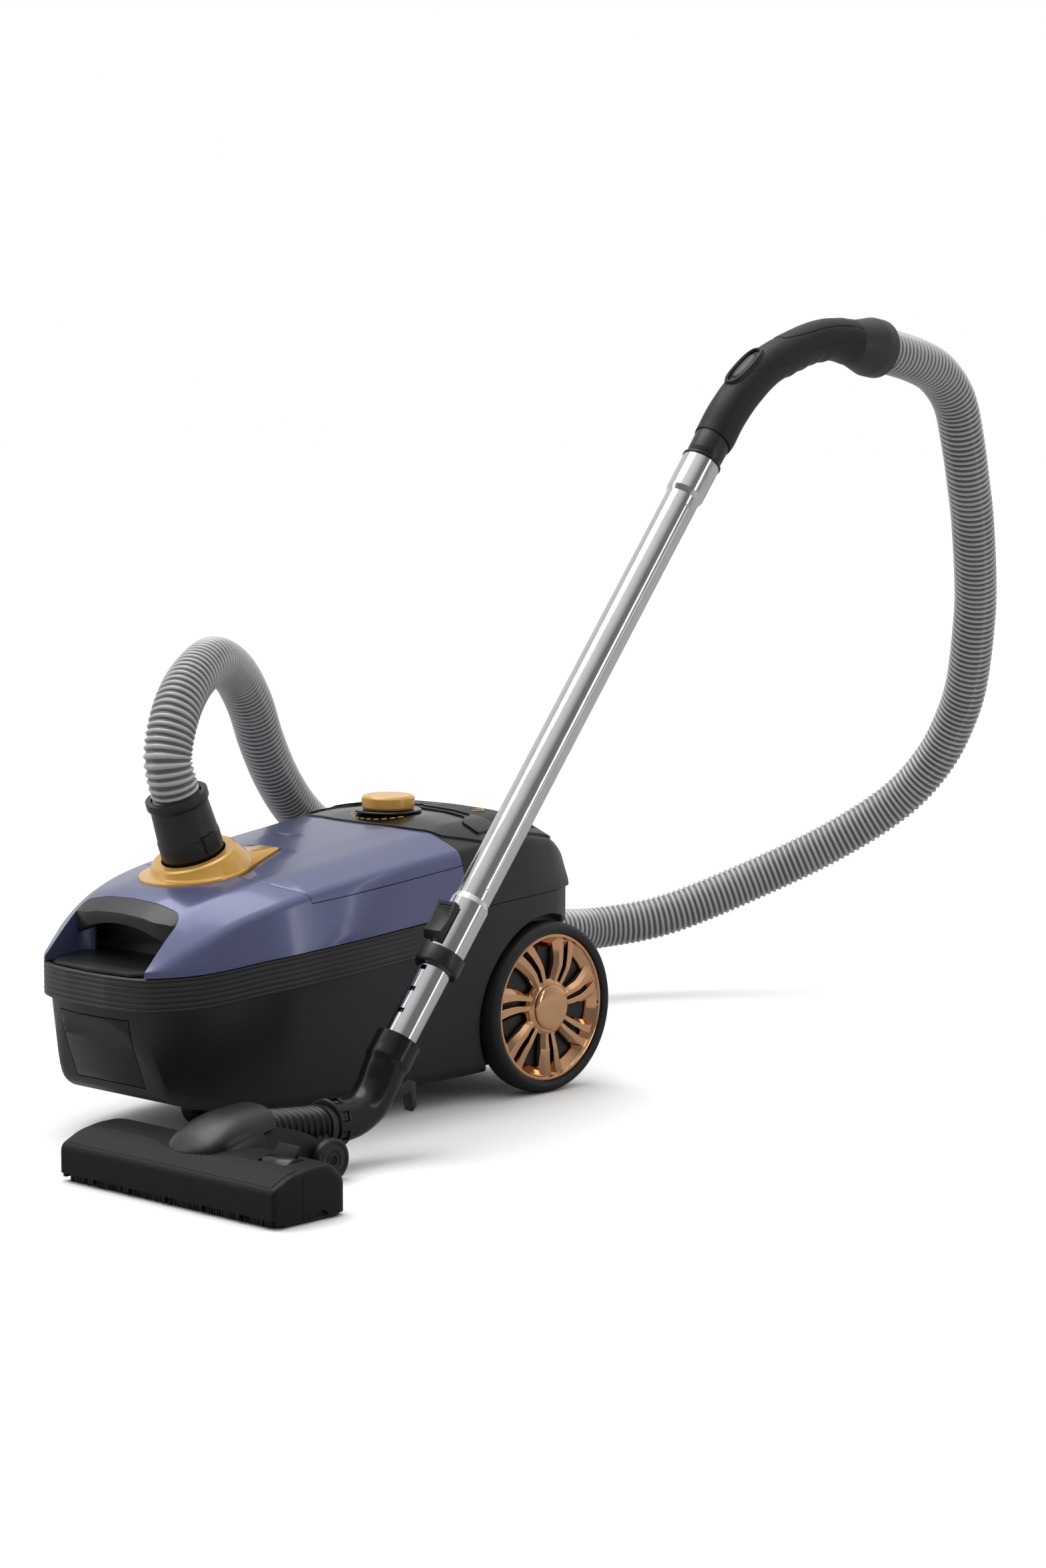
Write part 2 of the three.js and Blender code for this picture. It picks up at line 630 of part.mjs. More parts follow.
function hoseCuff() {
  const { root, length, rim, body } = CUFF;
  const bore = 22;
  const profile = [[bore, root], [INLET.radius, root], [INLET.radius, 8], [body, 10], [body, 36],
    [rim - 2, 40],
    [rim - 2, length - 12], [rim, length - 9], [rim, length], [bore, length], [bore, root]];
  const slots = [90, 270].map((turn) => block(-9, 9, body - 6, body + 4, 12, 30).rotate([0, 0, turn]));
  return turned(profile, 28).subtract(unite(...slots));
}

function cuffButton() {
  return block(-9 + GAP, 9 - GAP, CUFF.body - 3, CUFF.body + 2, 12 + GAP, 30 - GAP);
}

function hoseEnds() {
  const lean = radians(INLET.lean);
  const droop = radians(HOSE_SOCKET.droop);
  const mouth = vector(0, INLET.y, INLET.z);
  const outOfCuff = vector(0, -Math.sin(lean), Math.cos(lean));
  const socket = vector(WAND.x, HOSE_SOCKET.y, HOSE_SOCKET.z);
  const outOfSocket = vector(0, Math.cos(droop), -Math.sin(droop));
  const step = (from, way, distance) => from.clone().addScaledVector(way, distance).toArray();
  return {
    start: [CUFF.length + GAP, CUFF.length + 18].map((d) => step(mouth, outOfCuff, d)),
    end: [10, GAP].map((d) => step(socket, outOfSocket, d)),
  };
}

function hose() {
  const { start, end } = hoseEnds();
  return sweep([...start, ...HOSE_ROUTE, ...end], HOSE_RADIUS, HOSE_SIDES, HOSE_STEPS);
}

function hoseSocket() {
  const { length, radius } = HOSE_SOCKET;
  const bore = 18;
  const profile = [[bore, -length], [23, -length], [27, -length + 16], [radius, -18], [radius, -3],
    [radius - 2, 0], [bore, 0], [bore, -length]];
  return turned(profile, 28);
}

// ---------------------------------------------------------------- wand, along its own +Z from the socket rim

function innerTube() {
  const { from, to, radius, wall } = INNER_TUBE;
  const notches = Array.from({ length: NOTCH.count }, (_, i) => {
    const z = NOTCH.first + NOTCH.pitch * i;
    const half = NOTCH.width / 2;
    return block(-half, half, -radius - 1, -radius + NOTCH.depth, z, z + NOTCH.length);
  });
  return ring(radius - wall, radius, from, to, 24).subtract(unite(...notches));
}

function outerTube() {
  const { from, to, radius, wall, flareRadius, lowFlare, topFlare } = OUTER_TUBE;
  const slim = radius - wall;
  const wide = flareRadius - wall;
  return turned([[wide, from], [flareRadius, from], [flareRadius, lowFlare - 6], [radius, lowFlare],
    [radius, topFlare], [flareRadius, topFlare + 6], [flareRadius, to], [wide, to], [wide, topFlare + 7],
    [slim, topFlare + 1], [slim, lowFlare - 1], [wide, lowFlare - 7], [wide, from]], 28);
}

function endRing() {
  const { from, to, radius } = END_RING;
  const inner = INNER_TUBE.radius + GAP;
  const tubeOuter = OUTER_TUBE.flareRadius + GAP;
  return turned([[inner, from], [radius - 1, from], [radius, from + 2], [radius, to], [tubeOuter, to],
    [tubeOuter, OUTER_TUBE.from - GAP], [inner, OUTER_TUBE.from - GAP], [inner, from]], 28);
}

function topRing() {
  const top = OUTER_TUBE.to;
  const wide = OUTER_TUBE.flareRadius + GAP;
  return turned([[wide, top - 7], [wide + 1.6, top - 7], [wide + 1.6, top + 3], [18, top + 3],
    [18, top + GAP], [wide, top + GAP], [wide, top - 7]], 28);
}

function lockSlider() {
  const { from, to, halfWidth, height } = SLIDER;
  const base = OUTER_TUBE.flareRadius + 0.5;
  const side = [[-base, from], [-base, to], [-base - height, to], [-base - height + 3, from + 22],
    [-base - height, from + 6], [-base - 3, from]];
  return alongX(side, -halfWidth, halfWidth);
}

function handleSpigot() {
  const { spigotFrom, spigotTo, bore } = HANDLE;
  const fit = OUTER_TUBE.flareRadius - OUTER_TUBE.wall - GAP;
  const over = OUTER_TUBE.to + 4;
  const inner = bore - 0.8;
  return turned([[inner, spigotFrom], [fit - 0.8, spigotFrom], [17.5, over], [20, over + 4],
    [19, spigotTo - 6],
    [inner, spigotTo - 6], [inner, spigotFrom]], 28);
}

// ---------------------------------------------------------------- handle, in the wand's plane

const inWandPlane = ([y, z]) => [WAND.x, y, z];

function handleTube() {
  const line = HANDLE_LINE.map(inWandPlane);
  return sweep(line, HANDLE.radius, 16, 14).subtract(sweep(extended(line), HANDLE.bore, 10, 14));
}

// The same line, carried on a little at both ends.
function extended(line) {
  const beyond = ([from, to]) => to.map((value, i) => value + 0.2 * (value - from[i]));
  return [beyond([line[1], line[0]]), ...line.slice(1, -1), beyond(line.slice(-2))];
}

function handleBody() {
  const [[y0, z0], [y1, z1]] = [VENT.from, VENT.to];
  const [dy, dz] = [(z0 - z1) / 4, (y1 - y0) / 4];
  const pocket = alongX([[y0 + dy, z0 + dz], [y1 + dy, z1 + dz], [y1 - dy / 3, z1 - dz / 3],
    [y0 - dy / 3, z0 - dz / 3]], WAND.x - VENT.halfWidth, WAND.x + VENT.halfWidth);
  return handleTube().subtract(pocket).subtract(handleCoverZone(0));
}

function handleCoverZone(inset) {
  const outline = [[398, 790], [398, 752 + inset], [500, 756 + inset], [500, 790]];
  return alongX(outline, WAND.x - FAR, WAND.x + FAR);
}

function handleCover() {
  return handleTube().intersect(handleCoverZone(GAP)).intersect(
    block(-FAR, FAR, 398 + GAP, 500 - GAP, 0, FAR),
  );
}

function ventSlider() {
  const [[y0, z0], [y1, z1]] = [VENT.from, VENT.to];
  const length = Math.hypot(y1 - y0, z1 - z0);
  const [ty, tz] = [(y1 - y0) / length, (z1 - z0) / length];
  const at = (along, out) => [y0 + ty * along - tz * out, z0 + tz * along + ty * out];
  return alongX([at(7, -2), at(length - 7, -2), at(length - 7, 5), at(length - 14, 7), at(12, 7), at(7, 4)],
    WAND.x - VENT.halfWidth + 1, WAND.x + VENT.halfWidth - 1);
}

// ---------------------------------------------------------------- elbow, neck and floor head

function elbow() {
  const tilt = radians(WAND.tilt);
  const down = (distance) => [WAND.x, WAND.y - distance * Math.sin(tilt), WAND.z - distance * Math.cos(tilt)];
  const line = [down(0), down(14), down(30), [WAND.x, -209, 68], [WAND.x, -222, 54], [WAND.x, -240, 46],
    [WAND.x, NECK.to - 4, NECK.z]];
  const bore = sweep(extended(line), INNER_TUBE.radius + 1, 14, 12);
  const beyondNeck = block(0, FAR, -FAR, NECK.to + GAP, -FAR, FAR);
  const parkingHook = [[-186, 66], [-166, 72], [-163, 44], [-168, 40], [-171, 60], [-190, 55]];
  const hook = alongX(parkingHook, WAND.x - 6, WAND.x + 6);
  return sweep(line, 22.5, 16, 12).add(hook).subtract(bore).subtract(beyondNeck);
}

function neckBody() {
  const side = new THREE.Shape();
  side.moveTo(PIVOT.y - 54, 62);
  side.quadraticCurveTo(PIVOT.y - 46, 74, PIVOT.y - 24, 68);
  side.lineTo(NECK.from - GAP, NECK.z + 17);
  side.lineTo(NECK.from - GAP, NECK.z - 17);
  side.lineTo(PIVOT.y + PIVOT.radius, PIVOT.z);
  side.absarc(PIVOT.y, PIVOT.z, PIVOT.radius, 0, Math.PI, true);
  side.lineTo(PIVOT.y - 50, 50);
  const pin = ontoX(rod(4 + GAP, -FAR, FAR, 16)).translate([0, PIVOT.y, PIVOT.z]);
  return alongX(side, WAND.x - PIVOT.halfWidth, WAND.x + PIVOT.halfWidth).subtract(pin);
}

function neckCollar() {
  const ringOf = ring(INNER_TUBE.radius + GAP, NECK.radius + 2, 0, NECK.to - NECK.from, 28);
  return ringOf.rotate([-90, 0, 0]).translate([WAND.x, NECK.from, NECK.z]);
}

function headShell() {
  const { left, right, front, back, sole, edge, ridge } = HEAD;
  const side = [[front, sole], [front, edge - 3], [front + 4, edge], [front + 36, ridge - 2],
    [back - 14, ridge],
    [back - 2, ridge - 8], [back, ridge - 14], [back, sole]];
  const body = alongX(side, left, right);
  const hollow = block(left + 4, right - 4, front + 4, back - 4, 0, edge - 4);
  const notch = block(WAND.x - 27, WAND.x + 27, back - 3, 0, 0, FAR);
  const sweepRoom = ontoX(rod(NECK.sweep + 2, WAND.x - 27, WAND.x + 27, 48)).translate([0, PIVOT.y, PIVOT.z]);
  const seat = block(WAND.x - 50, WAND.x + 50, -449, -340, edge + 4, FAR);
  const pedalHole = block(
    HEAD_PEDAL.x - HEAD_PEDAL.width / 2 - GAP, HEAD_PEDAL.x + HEAD_PEDAL.width / 2 + GAP,
    HEAD_PEDAL.y - HEAD_PEDAL.depth / 2 - GAP, HEAD_PEDAL.y + HEAD_PEDAL.depth / 2 + GAP, edge - 10, FAR);
  return body.subtract(hollow).subtract(notch).subtract(sweepRoom).subtract(seat).subtract(pedalHole);
}

function headCover() {
  const dome = new THREE.Shape();
  dome.moveTo(-448, HEAD.edge + 4 + GAP);
  dome.quadraticCurveTo(-440, 62, -404, 72);
  dome.lineTo(-370, 78);
  dome.lineTo(-360, 60);
  dome.lineTo(PIVOT.y + 6, PIVOT.z + 10);
  dome.absarc(PIVOT.y, PIVOT.z, 12, 0.8, -Math.PI / 2, true);
  dome.lineTo(-384, 12);
  dome.lineTo(-384, HEAD.edge + 4 + GAP);
  const [near, wide] = [PIVOT.halfWidth + 3, PIVOT.halfWidth + 10];
  const between = block(WAND.x - near, WAND.x + near, -384 - 3, 0, 0, FAR).intersect(
    ontoX(rod(NECK.sweep + 2, WAND.x - near, WAND.x + near, 48)).translate([0, PIVOT.y, PIVOT.z]),
  );
  const pin = ontoX(rod(4, WAND.x - wide - 10, WAND.x + wide + 10, 16)).translate([0, PIVOT.y, PIVOT.z]);
  return alongX(dome, WAND.x - wide, WAND.x + wide).subtract(between).add(pin);
}

function solePlate() {
  const { left, right, front, back, sole } = HEAD;
  const slot = block(left + 30, right - 30, -436, -420, 0, 20);
  const brushSlot = block(left + 4, right - 4, BRUSH.y - 5, BRUSH.y + 5, 0, 20);
  const plate = block(left + 1, right - 1, front + 1, back - 1, sole - 3, sole - GAP);
  return plate.subtract(slot).subtract(brushSlot);
}

function brushStrip() {
  const { left, right } = HEAD;
  return unite(
    block(left + 8, right - 8, BRUSH.y - BRUSH.depth / 2, BRUSH.y + BRUSH.depth / 2, 10, 18),
    block(left + 10, right - 10, BRUSH.y - 1.5, BRUSH.y + 1.5, 0, 10),
  );
}

function headPedal() {
  const { x, y, width, depth } = HEAD_PEDAL;
  const top = HEAD.ridge + 4;
  return alongX([[y - depth / 2, top - 7], [y - 2, top], [y + depth / 2, top - 3],
    [y + depth / 2 - 3, top - 13],
    [y - depth / 2 + 3, top - 13]], x - width / 2, x + width / 2);
}

function headWheel() {
  const r = HEAD_WHEEL.radius;
  const w = HEAD_WHEEL.width;
  const bore = 4 + GAP;
  return ontoX(turned([[bore, 0], [r - 2, 0], [r, 2], [r, w - 2], [r - 2, w], [bore, w], [bore, 0]], 28));
}

// ---------------------------------------------------------------- assembly

function canisterPieces() {
  const pieces = [
    piece("base_shell", baseShell(), BLACK_SATIN),
    piece("bumper_band", bumperBand(), BLACK_MATT),
    piece("front_panel", frontPanel(), BLACK_GLOSS),
    piece("front_shell", frontShell(), LILAC),
    piece("carry_grip", carryGrip(), BLACK_SATIN),
    piece("bag_lid", bagLid(), LILAC),
    piece("lid_latch", lidLatch(), BLACK_SATIN),
    piece("rear_cover", rearCover(), BLACK_SATIN),
    piece("inlet_collar", inletCollar(), GOLD),
    piece("deck_trim", deckTrim(), BLACK_SATIN),
    piece("control_panel", controlPanel(), BLACK_GLOSS),
    piece("power_pedal", pedal(1), BLACK_SATIN),
    piece("rewind_pedal", pedal(-1), BLACK_SATIN),
    piece("power_knob", powerKnob(), GOLD),
    piece("dust_bag", dustBag(), PAPER),
    piece("bag_card", bagCard(), PAPER),
    piece("pre_motor_filter", preMotorFilter(), PAPER),
    piece("motor_housing", motorHousing(), STEEL),
    piece("impeller", impeller(), STEEL),
    piece("cord_reel", cordReel(), BLACK_MATT),
    piece("cord_gland", cordGland(), BLACK_MATT),
    piece("exhaust_door", exhaustDoor(), BLACK_SATIN),
    piece("exhaust_filter", exhaustFilter(), PAPER),
  ];
  return pieces;
}

// One road wheel's pieces about its own centre, outer side towards +X.
function roadWheel(side) {
  const group = new THREE.Group();
  group.add(piece("tyre_" + side, tyre(), RUBBER));
  group.add(piece("wheel_disc_" + side, spokedDisc(), COPPER));
  group.add(piece("hub_cap_" + side, hubCap(), COPPER));
  group.add(piece("axle_" + side, axle(), STEEL));
  group.position.set(side === "right" ? WHEEL.x : -WHEEL.x, WHEEL.y, WHEEL.radius);
  group.rotation.z = side === "right" ? 0 : Math.PI;
  return group;
}

function casterGroup() {
  const group = new THREE.Group();
  const roller = new THREE.Group();
  roller.add(piece("caster_roller", casterRoller(), RUBBER));
  roller.add(piece("caster_axle", ontoX(rod(2.5, -15, 15, 12)), STEEL));
  roller.position.set(0, CASTER.trail, CASTER.radius);
  group.add(piece("caster_fork", casterFork(), BLACK_SATIN), roller);
  group.position.set(0, CASTER.y, 0);
  return group;
}

function cuffGroup() {
  const group = new THREE.Group();
  group.add(piece("hose_cuff", hoseCuff(), BLACK_SATIN));
  for (const side of ["left", "right"]) {
    const button = piece("cuff_button_" + side, cuffButton(), BLACK_MATT);
    button.rotation.z = (side === "left" ? 1 : -1) * (Math.PI / 2);
    group.add(button);
  }
  group.position.set(0, INLET.y, INLET.z);
  group.rotation.x = radians(INLET.lean);
  return group;
}

function wandGroup() {
  const group = new THREE.Group();
  group.add(piece("inner_tube", innerTube(), CHROME));
  group.add(piece("outer_tube", outerTube(), CHROME));
  group.add(piece("tube_end_ring", endRing(), BLACK_SATIN));
  group.add(piece("tube_top_ring", topRing(), BLACK_MATT));
  group.add(piece("lock_slider", lockSlider(), BLACK_SATIN));
  group.add(piece("handle_spigot", handleSpigot(), BLACK_SATIN));
  group.position.set(WAND.x, WAND.y, WAND.z);
  group.rotation.x = -radians(WAND.tilt);
  return group;
}

function socketGroup() {
  const group = new THREE.Group();
  group.add(piece("hose_socket", hoseSocket(), BLACK_MATT));
  group.position.set(WAND.x, HOSE_SOCKET.y, HOSE_SOCKET.z);
  group.rotation.x = -radians(90 + HOSE_SOCKET.droop);
  return group;
}

function handlePieces() {
  return [
    piece("handle_body", handleBody(), BLACK_MATT),
    piece("handle_cover", handleCover(), BLACK_SATIN),
    piece("vent_slider", ventSlider(), BLACK_SATIN),
  ];
}

function headPieces() {
  const wheels = ["left", "right"].map((side) => {
    const wheel = piece("head_wheel_" + side, headWheel(), RUBBER);
    const outward = side === "right" ? 1 : -1;
    wheel.position.set(WAND.x + outward * HEAD_WHEEL.inset, PIVOT.y, PIVOT.z);
    wheel.rotation.z = side === "right" ? 0 : Math.PI;
    return wheel;
  });
  return [
    piece("elbow", elbow(), BLACK_SATIN),
    piece("neck", neckBody(), BLACK_MATT),
    piece("neck_collar", neckCollar(), BLACK_SATIN),
    piece("head_shell", headShell(), BLACK_MATT),
    piece("head_cover", headCover(), BLACK_SATIN),
    piece("sole_plate", solePlate(), STEEL),
    piece("brush_strip", brushStrip(), BLACK_MATT),
    piece("head_pedal", headPedal(), BLACK_GLOSS),
    ...wheels,
  ];
}

const vacuum = new THREE.Group();
vacuum.add(...canisterPieces(), roadWheel("left"), roadWheel("right"), casterGroup());
vacuum.add(cuffGroup(), wandGroup(), socketGroup(), ...handlePieces(), ...headPieces());
const stand = new THREE.Box3().setFromObject(vacuum);
const middle = stand.getCenter(vector());
vacuum.add(piece("hose", hose(), GREY_VINYL));
vacuum.position.set(-middle.x, -middle.y, -stand.min.z);

export default vacuum;
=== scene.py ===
"""A canister vacuum cleaner: the looks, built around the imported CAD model.

Sizes are millimetres in the design's own frame, as in part.mjs.
at() takes such a point to the row frame, in metres.
"""

import json
import math
import random

import bmesh
import bpy
from mathutils import Matrix, Vector

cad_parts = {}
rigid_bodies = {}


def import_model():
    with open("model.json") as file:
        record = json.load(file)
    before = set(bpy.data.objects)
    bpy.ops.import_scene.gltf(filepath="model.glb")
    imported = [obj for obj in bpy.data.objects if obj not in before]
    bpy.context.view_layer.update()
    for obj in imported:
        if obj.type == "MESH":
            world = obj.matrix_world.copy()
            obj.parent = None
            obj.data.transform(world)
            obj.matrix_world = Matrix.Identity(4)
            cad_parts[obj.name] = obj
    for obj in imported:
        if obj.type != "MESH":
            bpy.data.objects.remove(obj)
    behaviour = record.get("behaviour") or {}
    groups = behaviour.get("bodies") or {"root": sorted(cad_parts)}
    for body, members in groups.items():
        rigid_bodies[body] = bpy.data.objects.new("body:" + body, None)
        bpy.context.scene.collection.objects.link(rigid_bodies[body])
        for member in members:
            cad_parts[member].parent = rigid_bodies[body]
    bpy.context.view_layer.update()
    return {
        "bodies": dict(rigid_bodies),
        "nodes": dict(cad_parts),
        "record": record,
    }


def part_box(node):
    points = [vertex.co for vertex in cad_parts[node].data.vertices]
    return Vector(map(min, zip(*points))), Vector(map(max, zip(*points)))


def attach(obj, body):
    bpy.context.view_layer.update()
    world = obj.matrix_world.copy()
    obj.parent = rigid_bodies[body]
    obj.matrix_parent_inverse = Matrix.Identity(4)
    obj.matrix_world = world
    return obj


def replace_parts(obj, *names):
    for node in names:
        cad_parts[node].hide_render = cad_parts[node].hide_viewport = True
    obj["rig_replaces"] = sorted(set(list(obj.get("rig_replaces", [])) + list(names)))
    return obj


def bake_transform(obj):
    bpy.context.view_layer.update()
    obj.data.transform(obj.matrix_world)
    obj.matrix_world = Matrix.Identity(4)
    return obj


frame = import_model()

# ---------------- driving dimensions, in mm

MM = 0.001
SEAM = 0.4  # clearance between neighbouring shells
WALL = 3.0
SOFT_EDGE = 0.6  # how far the edges of a CAD shape are rounded
FAR = 900.0  # beyond everything, for cutting solids

NOSE_Y, REAR_Y = -362, 192
BAND_HEIGHT = 33
BAND_DEPTH = 5
FLUSH_FROM, FLUSH_TO = -20, 60
HALF_WIDTH = [(-362, 28), (-357, 56), (-349, 76), (-338, 88), (-302, 111), (-260, 126), (-210, 138),
              (-120, 146), (0, 147), (100, 142), (150, 135), (178, 124), (192, 108)]
TOP_HEIGHT = [(-362, 172), (-355, 179), (-338, 204), (-313, 224), (-285, 240), (-222, 252), (-123, 263),
              (0, 279), (42, 284), (100, 283), (150, 276), (178, 259), (192, 238)]
CREASE_HEIGHT = [(-362, 171), (-355, 174), (-340, 180), (-302, 200), (-260, 219), (-210, 233), (-158, 242),
                 (12, 258), (100, 262), (150, 256), (178, 242), (192, 226)]
CREASE_INSET = [(-355, 3), (-302, 9), (-158, 14), (12, 16), (192, 12)]
BAND_TOP = [(-355, 169), (-318, 171), (-237, 181), (-43, 196), (60, 203), (192, 206)]
UNDERSIDE = [(-362, 126), (-355, 112), (-345, 84), (-330, 50), (-300, 38), (-220, 30), (0, 28), (192, 34)]
PANEL_ZONE_HALF, PANEL_ZONE_REAR, PANEL_ZONE_LOW, PANEL_ZONE_HIGH = 49, -300, 59, 126
LID_SEAM = [(-195, 228), (-140, 232), (9, 244), (30, 246)]
SIDE_TAPER = 0.9
CROWN_FACETS = ((0.68, 0.74), (0.36, 0.95))  # shares of the shoulder's reach and of the crown's rise
CROWN_FOOT, CROWN_CEILING = 200, 400
LID_FRONT = [(0, -217), (80, -217), (126, -190), (160, -170)]
LID_REAR_Y = 12
RECESS_HALF, RECESS_BACK, RECESS_WALL = 72, -300, -283
GRIP_FRONT, GRIP_SPAN = -318, (150, 300)

WHEEL_X, WHEEL_Y, WHEEL_R, WHEEL_WIDTH, SPOKES = 133, 130, 87.5, 32, 7
AXLE = (0, WHEEL_Y, WHEEL_R)
ARCH_R, ARCH_INNER_X = 95, 103
KNOB_Y, KNOB_R, KNOB_BASE, KNOB_TOP = 42, 27, 287, 301
DECK_FRONT, DECK_ARC, DECK_SIDE, DECK_TRIM = -2, 210, [(96, 20), (118, 52), (108, 154)], 8
PANEL_FRONT, PANEL_CORNERS = -7, [(90, 13), (79, 72), (70, 80)]
PEDAL_CORNERS = [(2, 88), (72, 88), (92, 56), (114, 56), (104, 148), (2, 148)]

INLET = Vector((0, -221, 262))
INLET_LEAN = math.radians(20)
CUFF_LENGTH = 70
COLLAR_R, COLLAR_TAIL, COLLAR_STEPS = 55, -123, 20

HOSE_R = 24
HOSE_PITCH = 6.6
SOCKET = Vector((238, 532, 747))
SOCKET_DROOP = math.radians(9)
HOSE_ROUTE = [(-3, -252, 367), (-10, -238, 398), (-22, -214, 422), (-38, -182, 438), (-60, -140, 446),
              (-88, -90, 430), (-112, -46, 395), (-137, -6, 349), (-160, 36, 306), (-184, 86, 266),
              (-202, 140, 232), (-214, 210, 192), (-220, 290, 150), (-219, 370, 116), (-212, 450, 93),
              (-203, 520, 82), (-190, 576, 80), (-150, 641, 92), (-90, 720, 129), (-22, 787, 175),
              (34, 832, 223), (74, 848, 271), (104, 848, 320), (128, 838, 368), (156, 813, 440),
              (172, 793, 487), (194, 757, 556), (206, 732, 602), (216, 708, 646), (226, 679, 690),
              (232, 641, 719), (236, 598, 734)]

WAND = Vector((238, -180, 109))
WAND_TILT = math.radians(39.1)
HANDLE_LINE = [(272, 664), (288, 684), (314, 708), (352, 733), (408, 752), (438, 757.5), (462, 757.5),
               (481.6, 755)]
HEAD_LEFT, HEAD_RIGHT, HEAD_FRONT, HEAD_BACK = 94, 382, -475, -384
PIVOT = Vector((238, -306, 20.5))

ACROSS, BACKWARD, UP = (1, 0, 0), (0, 1, 0), (0, 0, 1)

# ---------------- placing

tyre_box = (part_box("tyre_left"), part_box("tyre_right"))
MID_X = (tyre_box[0][0][0] + tyre_box[1][1][0]) / 2
AXLE_Y = (tyre_box[1][0][1] + tyre_box[1][1][1]) / 2
ORIGIN = Vector((MID_X, AXLE_Y - WHEEL_Y * MM, 0))


def at(x, y, z):
    return ORIGIN + Vector((x, y, z)) * MM


def along_wand(distance, out=0.0, side=0.0):
    """A design point that far up the wand's axis; out is towards its front-upper side, side towards +X."""
    up = Vector((0, math.sin(WAND_TILT), math.cos(WAND_TILT)))
    front = Vector((0, -math.cos(WAND_TILT), math.sin(WAND_TILT)))
    return WAND + up * distance + front * out + Vector((side, 0, 0))


INLET_AXIS = Vector((0, -math.sin(INLET_LEAN), math.cos(INLET_LEAN)))
SOCKET_AXIS = Vector((0, math.cos(SOCKET_DROOP), -math.sin(SOCKET_DROOP)))
WAND_AXIS = along_wand(1) - WAND

# ---------------- numbers along an outline


def linear(table, y):
    if y <= table[0][0]:
        return table[0][1]
    for (y0, v0), (y1, v1) in zip(table, table[1:]):
        if y <= y1:
            return v0 + (v1 - v0) * (y - y0) / (y1 - y0)
    return table[-1][1]


def smooth(table, y):
    """The outline's value at y on a curve that keeps its rises and falls."""
    if y <= table[0][0]:
        return table[0][1]
    if y >= table[-1][0]:
        return table[-1][1]
    slopes = [(v1 - v0) / (y1 - y0) for (y0, v0), (y1, v1) in zip(table, table[1:])]
    tangents = [slopes[0]]
    for before, after in zip(slopes, slopes[1:]):
        tangents.append(0 if before * after <= 0 else 2 * before * after / (before + after))
    tangents.append(slopes[-1])
    for i, ((y0, v0), (y1, v1)) in enumerate(zip(table, table[1:])):
        if y <= y1:
            h = y1 - y0
            t = (y - y0) / h
            return (v0 * (1 + 2 * t) * (1 - t) ** 2 + v1 * t * t * (3 - 2 * t)
                    + h * (tangents[i] * t * (1 - t) ** 2 - tangents[i + 1] * t * t * (1 - t)))


def turns(count):
    """The angles of one even full turn."""
    return [2 * math.pi * i / count for i in range(count)]


def circle(radius, count):
    return [(radius * math.cos(a), radius * math.sin(a)) for a in turns(count)]


def squared(value, power):
    """A sine or cosine bent towards a squarer curve."""
    return math.copysign(abs(value) ** power, value)


def heading(line, i):
    """The direction in which a line runs at its point i."""
    return (line[min(i + 1, len(line) - 1)] - line[max(i - 1, 0)]).normalized()


def catmull(points, per_span):
    """A smooth line through the points."""
    points = [Vector(p) for p in points]
    padded = [2 * points[0] - points[1]] + points + [2 * points[-1] - points[-2]]
    line = []
    for a, b, c, d in zip(padded, padded[1:], padded[2:], padded[3:]):
        for i in range(per_span):
            t = i / per_span
            line.append(0.5 * (2 * b + (c - a) * t + (2 * a - 5 * b + 4 * c - d) * t * t
                               + (3 * b - a - 3 * c + d) * t ** 3))
    return line + [points[-1]]


def even(line, step):
    """The same line with points an even step apart."""
    marks = [0.0]
    for a, b in zip(line, line[1:]):
        marks.append(marks[-1] + (b - a).length)
    count = max(2, round(marks[-1] / step))
    out, j = [], 0
    for i in range(count + 1):
        want = marks[-1] * i / count
        while j < len(line) - 2 and marks[j + 1] < want:
            j += 1
        share = (want - marks[j]) / max(marks[j + 1] - marks[j], 1e-9)
        out.append(line[j].lerp(line[j + 1], min(1, share)))
    return out


def rounded(points, radius, steps=4):
    """An open outline with its inner corners rounded."""
    points = [Vector(p) for p in points]
    out = [points[0]]
    for a, b, c in zip(points, points[1:], points[2:]):
        reach = min(radius, (b - a).length / 2.1, (c - b).length / 2.1)
        p, q = b + (a - b).normalized() * reach, b + (c - b).normalized() * reach
        for i in range(steps + 1):
            t = i / steps
            out.append(p * (1 - t) ** 2 + b * 2 * t * (1 - t) + q * t * t)
    return out + [points[-1]]


def ring_rounded(points, radius, steps=4):
    """The same for a closed outline."""
    return rounded([points[-1]] + list(points) + [points[0]], radius, steps)[1:-1]


# ---------------- objects and materials


def placed(name, data):
    """A new object, linked into the scene."""
    obj = bpy.data.objects.new(name, data)
    bpy.context.scene.collection.objects.link(obj)
    return obj


def fill(node, **values):
    """Sets a node's inputs, named with _ for spaces: a constant is put on its socket, an output is linked."""
    for name, value in values.items():
        socket = node.inputs[name.replace("_", " ")]
        if isinstance(value, bpy.types.NodeSocket):
            node.id_data.links.new(value, socket)
        else:
            socket.default_value = value
    return node


def add(tree, kind, **values):
    return fill(tree.nodes.new("ShaderNode" + kind), **values)


def mixed(tree, factor, a, b):
    return add(tree, "Mix", Factor=factor, A=a, B=b).outputs["Result"]


def shader(name, colour, roughness, metallic=0.0, **sockets):
    """A new material and its main shader node."""
    material = bpy.data.materials.new(name)
    material.use_nodes = True
    surface = material.node_tree.nodes["Principled BSDF"]
    fill(surface, Base_Color=(*colour, 1), Roughness=roughness, Metallic=metallic, **sockets)
    return material, surface


